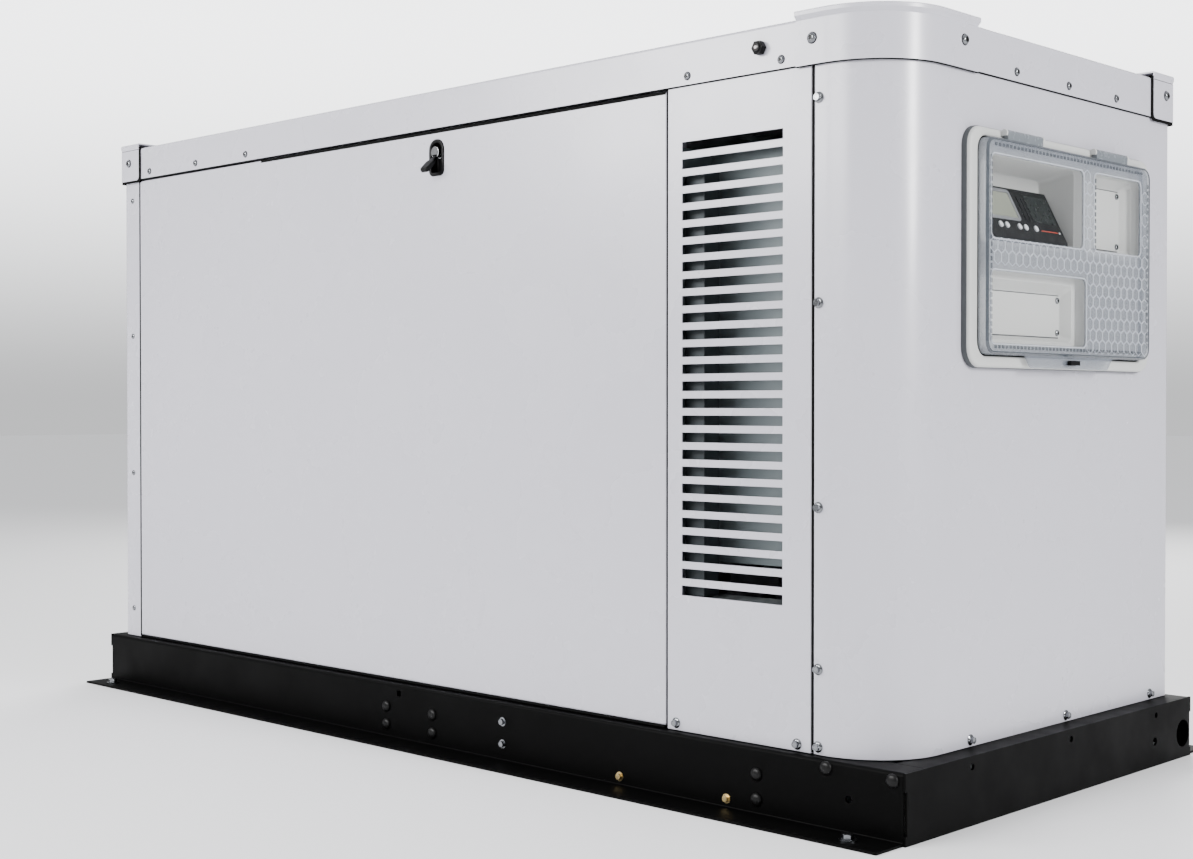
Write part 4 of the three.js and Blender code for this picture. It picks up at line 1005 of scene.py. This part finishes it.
# the honeycomb's ridges and the edge ribs are moulded; the ridges' pale colour is a painted highlight, the ribs' dark
# colour painted shade
placeHeads("lid_honeycomb", honeycombCell(), ridgeSheet, honeycombSpots(), "lid", "clear_plastic")
placeHeads("lid_edge_ribs", bar("rib", (2.5, 2.0), (3.6, 3.1), (0, 0.6)), ribSheet, ribSpots(), "lid", "clear_plastic")
softened("lid_latch", "lid_fastener", blackAbs, "black_plastic", 0.8)
print("window ready")


# the controller: a sloping panel in the first pocket
face = {"foot": (996, 846), "head": (955, 926), "length": 89.9}
slope = ((face["head"][0] - face["foot"][0]) / face["length"], (face["head"][1] - face["foot"][1]) / face["length"])


def onFace(y, along, out):
    return (face["foot"][0] + slope[0] * along + slope[1] * out, y, face["foot"][1] + slope[1] * along - slope[0] * out)


def facePlate(name, y, along, radius, layers, material, slot):
    # layers are pairs of inset and height over the face
    rings = []
    for inset, out in layers:
        outline = roundedRectangle((y[0] + inset, y[1] - inset), (along[0] + inset, along[1] - inset),
                                   max(radius - inset, 0.4), 5)
        rings.append([onFace(u, v, out) for u, v in outline])
    return finishPiece(loft(name, rings), "enclosure", material, slot)


softened("controller_housing", "enclosure", blackAbs, "black_plastic", 1.6)
softened("controller_display", "enclosure", screenGlass, "display_glass", 0.4)
facePlate("display_frame", (-164, -60), (30, 86), 7,
          [(0, -0.4), (0, 0.8), (0.8, 1.5), (4.4, 1.5), (5.6, 0.9), (5.6, -0.4)], screenFrame, "grey_plastic")
facePlate("selector_door", (-46, -30), (33, 76), 3,
          [(0, -0.4), (0, 0.7), (0.7, 1.2), (2.2, 1.2), (2.8, 0.3)], blackAbs, "black_plastic")
facePlate("side_label", (-22, 46), (32, 80), 5, [(0, -0.2), (0, 0.5), (0.4, 0.8)], sideLabel, "black_plastic")
facePlate("trim_line", (-12, 38), (17, 18.6), 0.6, [(0, -0.2), (0, 0.4), (0.2, 0.5)], orangeLine, "black_plastic")
facePlate("trim_dot", (41, 45), (15.6, 19.6), 1.9, [(0, -0.2), (0, 0.4), (0.3, 0.6)], keyCap, "button_plastic")
for name in ("menu_left", "menu_right", "select_down", "select_up", "enter"):
    softened("button_" + name, "button_" + name, keyCap, "button_plastic", 0.9)
for name in ("upper", "lower"):
    softened("breaker_cover_" + name, *greyPlastic, 0.6)
coverSpots = []
for name in ("upper", "lower"):
    low, high = (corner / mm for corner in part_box("breaker_cover_" + name))
    coverSpots += [((high[0], y, z), right) for y in (low[1] + 8, high[1] - 6) for z in (low[2] + 7, high[2] - 7)]
    # painted shadow: a dark shim slightly larger than each cover draws the shadow gap round it
    around = [(low[axis] - 1.6, high[axis] + 1.6) for axis in (1, 2)]
    coverShadow = block("cover_gasket_" + name, (low[0] - 0.4, low[0] + 0.7), *around)
    finishPiece(coverShadow, "enclosure", shadeBand, "grey_plastic", bevel=0.3)
placeHeads("cover_screws", buttonHead(10), zincPlate, coverSpots)
print("controller ready")


# behind the panels: posts, floor, engine, alternator, cooling and fuel
inside = {
    "galvanised_steel": (galvanised, 0.8, ("floor_pan",)),
    "base_paint": (blackCoat, 1.5, ("crossmember_engine", "crossmember_alternator")),
    "enclosure_paint": (greyCoat, 0.5, ("post_front_left", "post_rear_left", "post_rear_right", "post_front_centre",
                                        "post_rear_centre")),
    "cast_iron": (castIron, 5.0, ("engine_block", "exhaust_manifold")),
    "cast_aluminium": (castAluminium, 3.0, ("cylinder_head", "alternator_housing", "fuel_regulator")),
    "exhaust_steel": (exhaustSteel, 5.0, ("muffler",)),
    "black_plastic": (blackAbs, 4.0, ("air_cleaner", "fan_shroud")),
    "radiator_black": (radiatorPaint, 3.0, ("radiator_core",)),
    "rubber": (rubberSeal, 0.6, ("fan_belt",)),
}
for slot, (material, bevel, names) in inside.items():
    for name in names:
        softened(name, "enclosure", material, slot, bevel)
softened("battery", "enclosure", batteryCase, "black_plastic", 4.0)
softened("alternator_rotor", "crankshaft", lamination, "cast_iron", 2.0)
softened("crank_pulley", "crankshaft", castIron, "cast_iron", 1.2)
softened("cooling_fan", "fan", blackAbs, "black_plastic", 1.2)
coreLow, coreHigh = ([c / mm for c in corner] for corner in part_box("radiator_core"))
finHeight = coreHigh[2] - coreLow[2] - 110
fin = bar("fin", (0.45, 0.45), (finHeight / 2, finHeight / 2), (-0.5, 4))
finSpots = [((coreLow[0], y, (coreLow[2] + coreHigh[2]) / 2), left, 90) for y in range(-270, 271, 9)]
placeHeads("radiator_fins", fin, finCopper, finSpots, slot="radiator_black")
print("inside ready")

# the floor, far larger than what the view takes in
reach = 30000
floor = makeObject("floor", [(-reach, -reach, 0), (reach, -reach, 0), (reach, reach, 0), (-reach, reach, 0)],
                   [(0, 1, 2, 3)], False)
floor.data.materials.append(newMaterial("matteFloor", stage["floor"], 0.6, shade=(0.0, 180), roughShift=0.02))
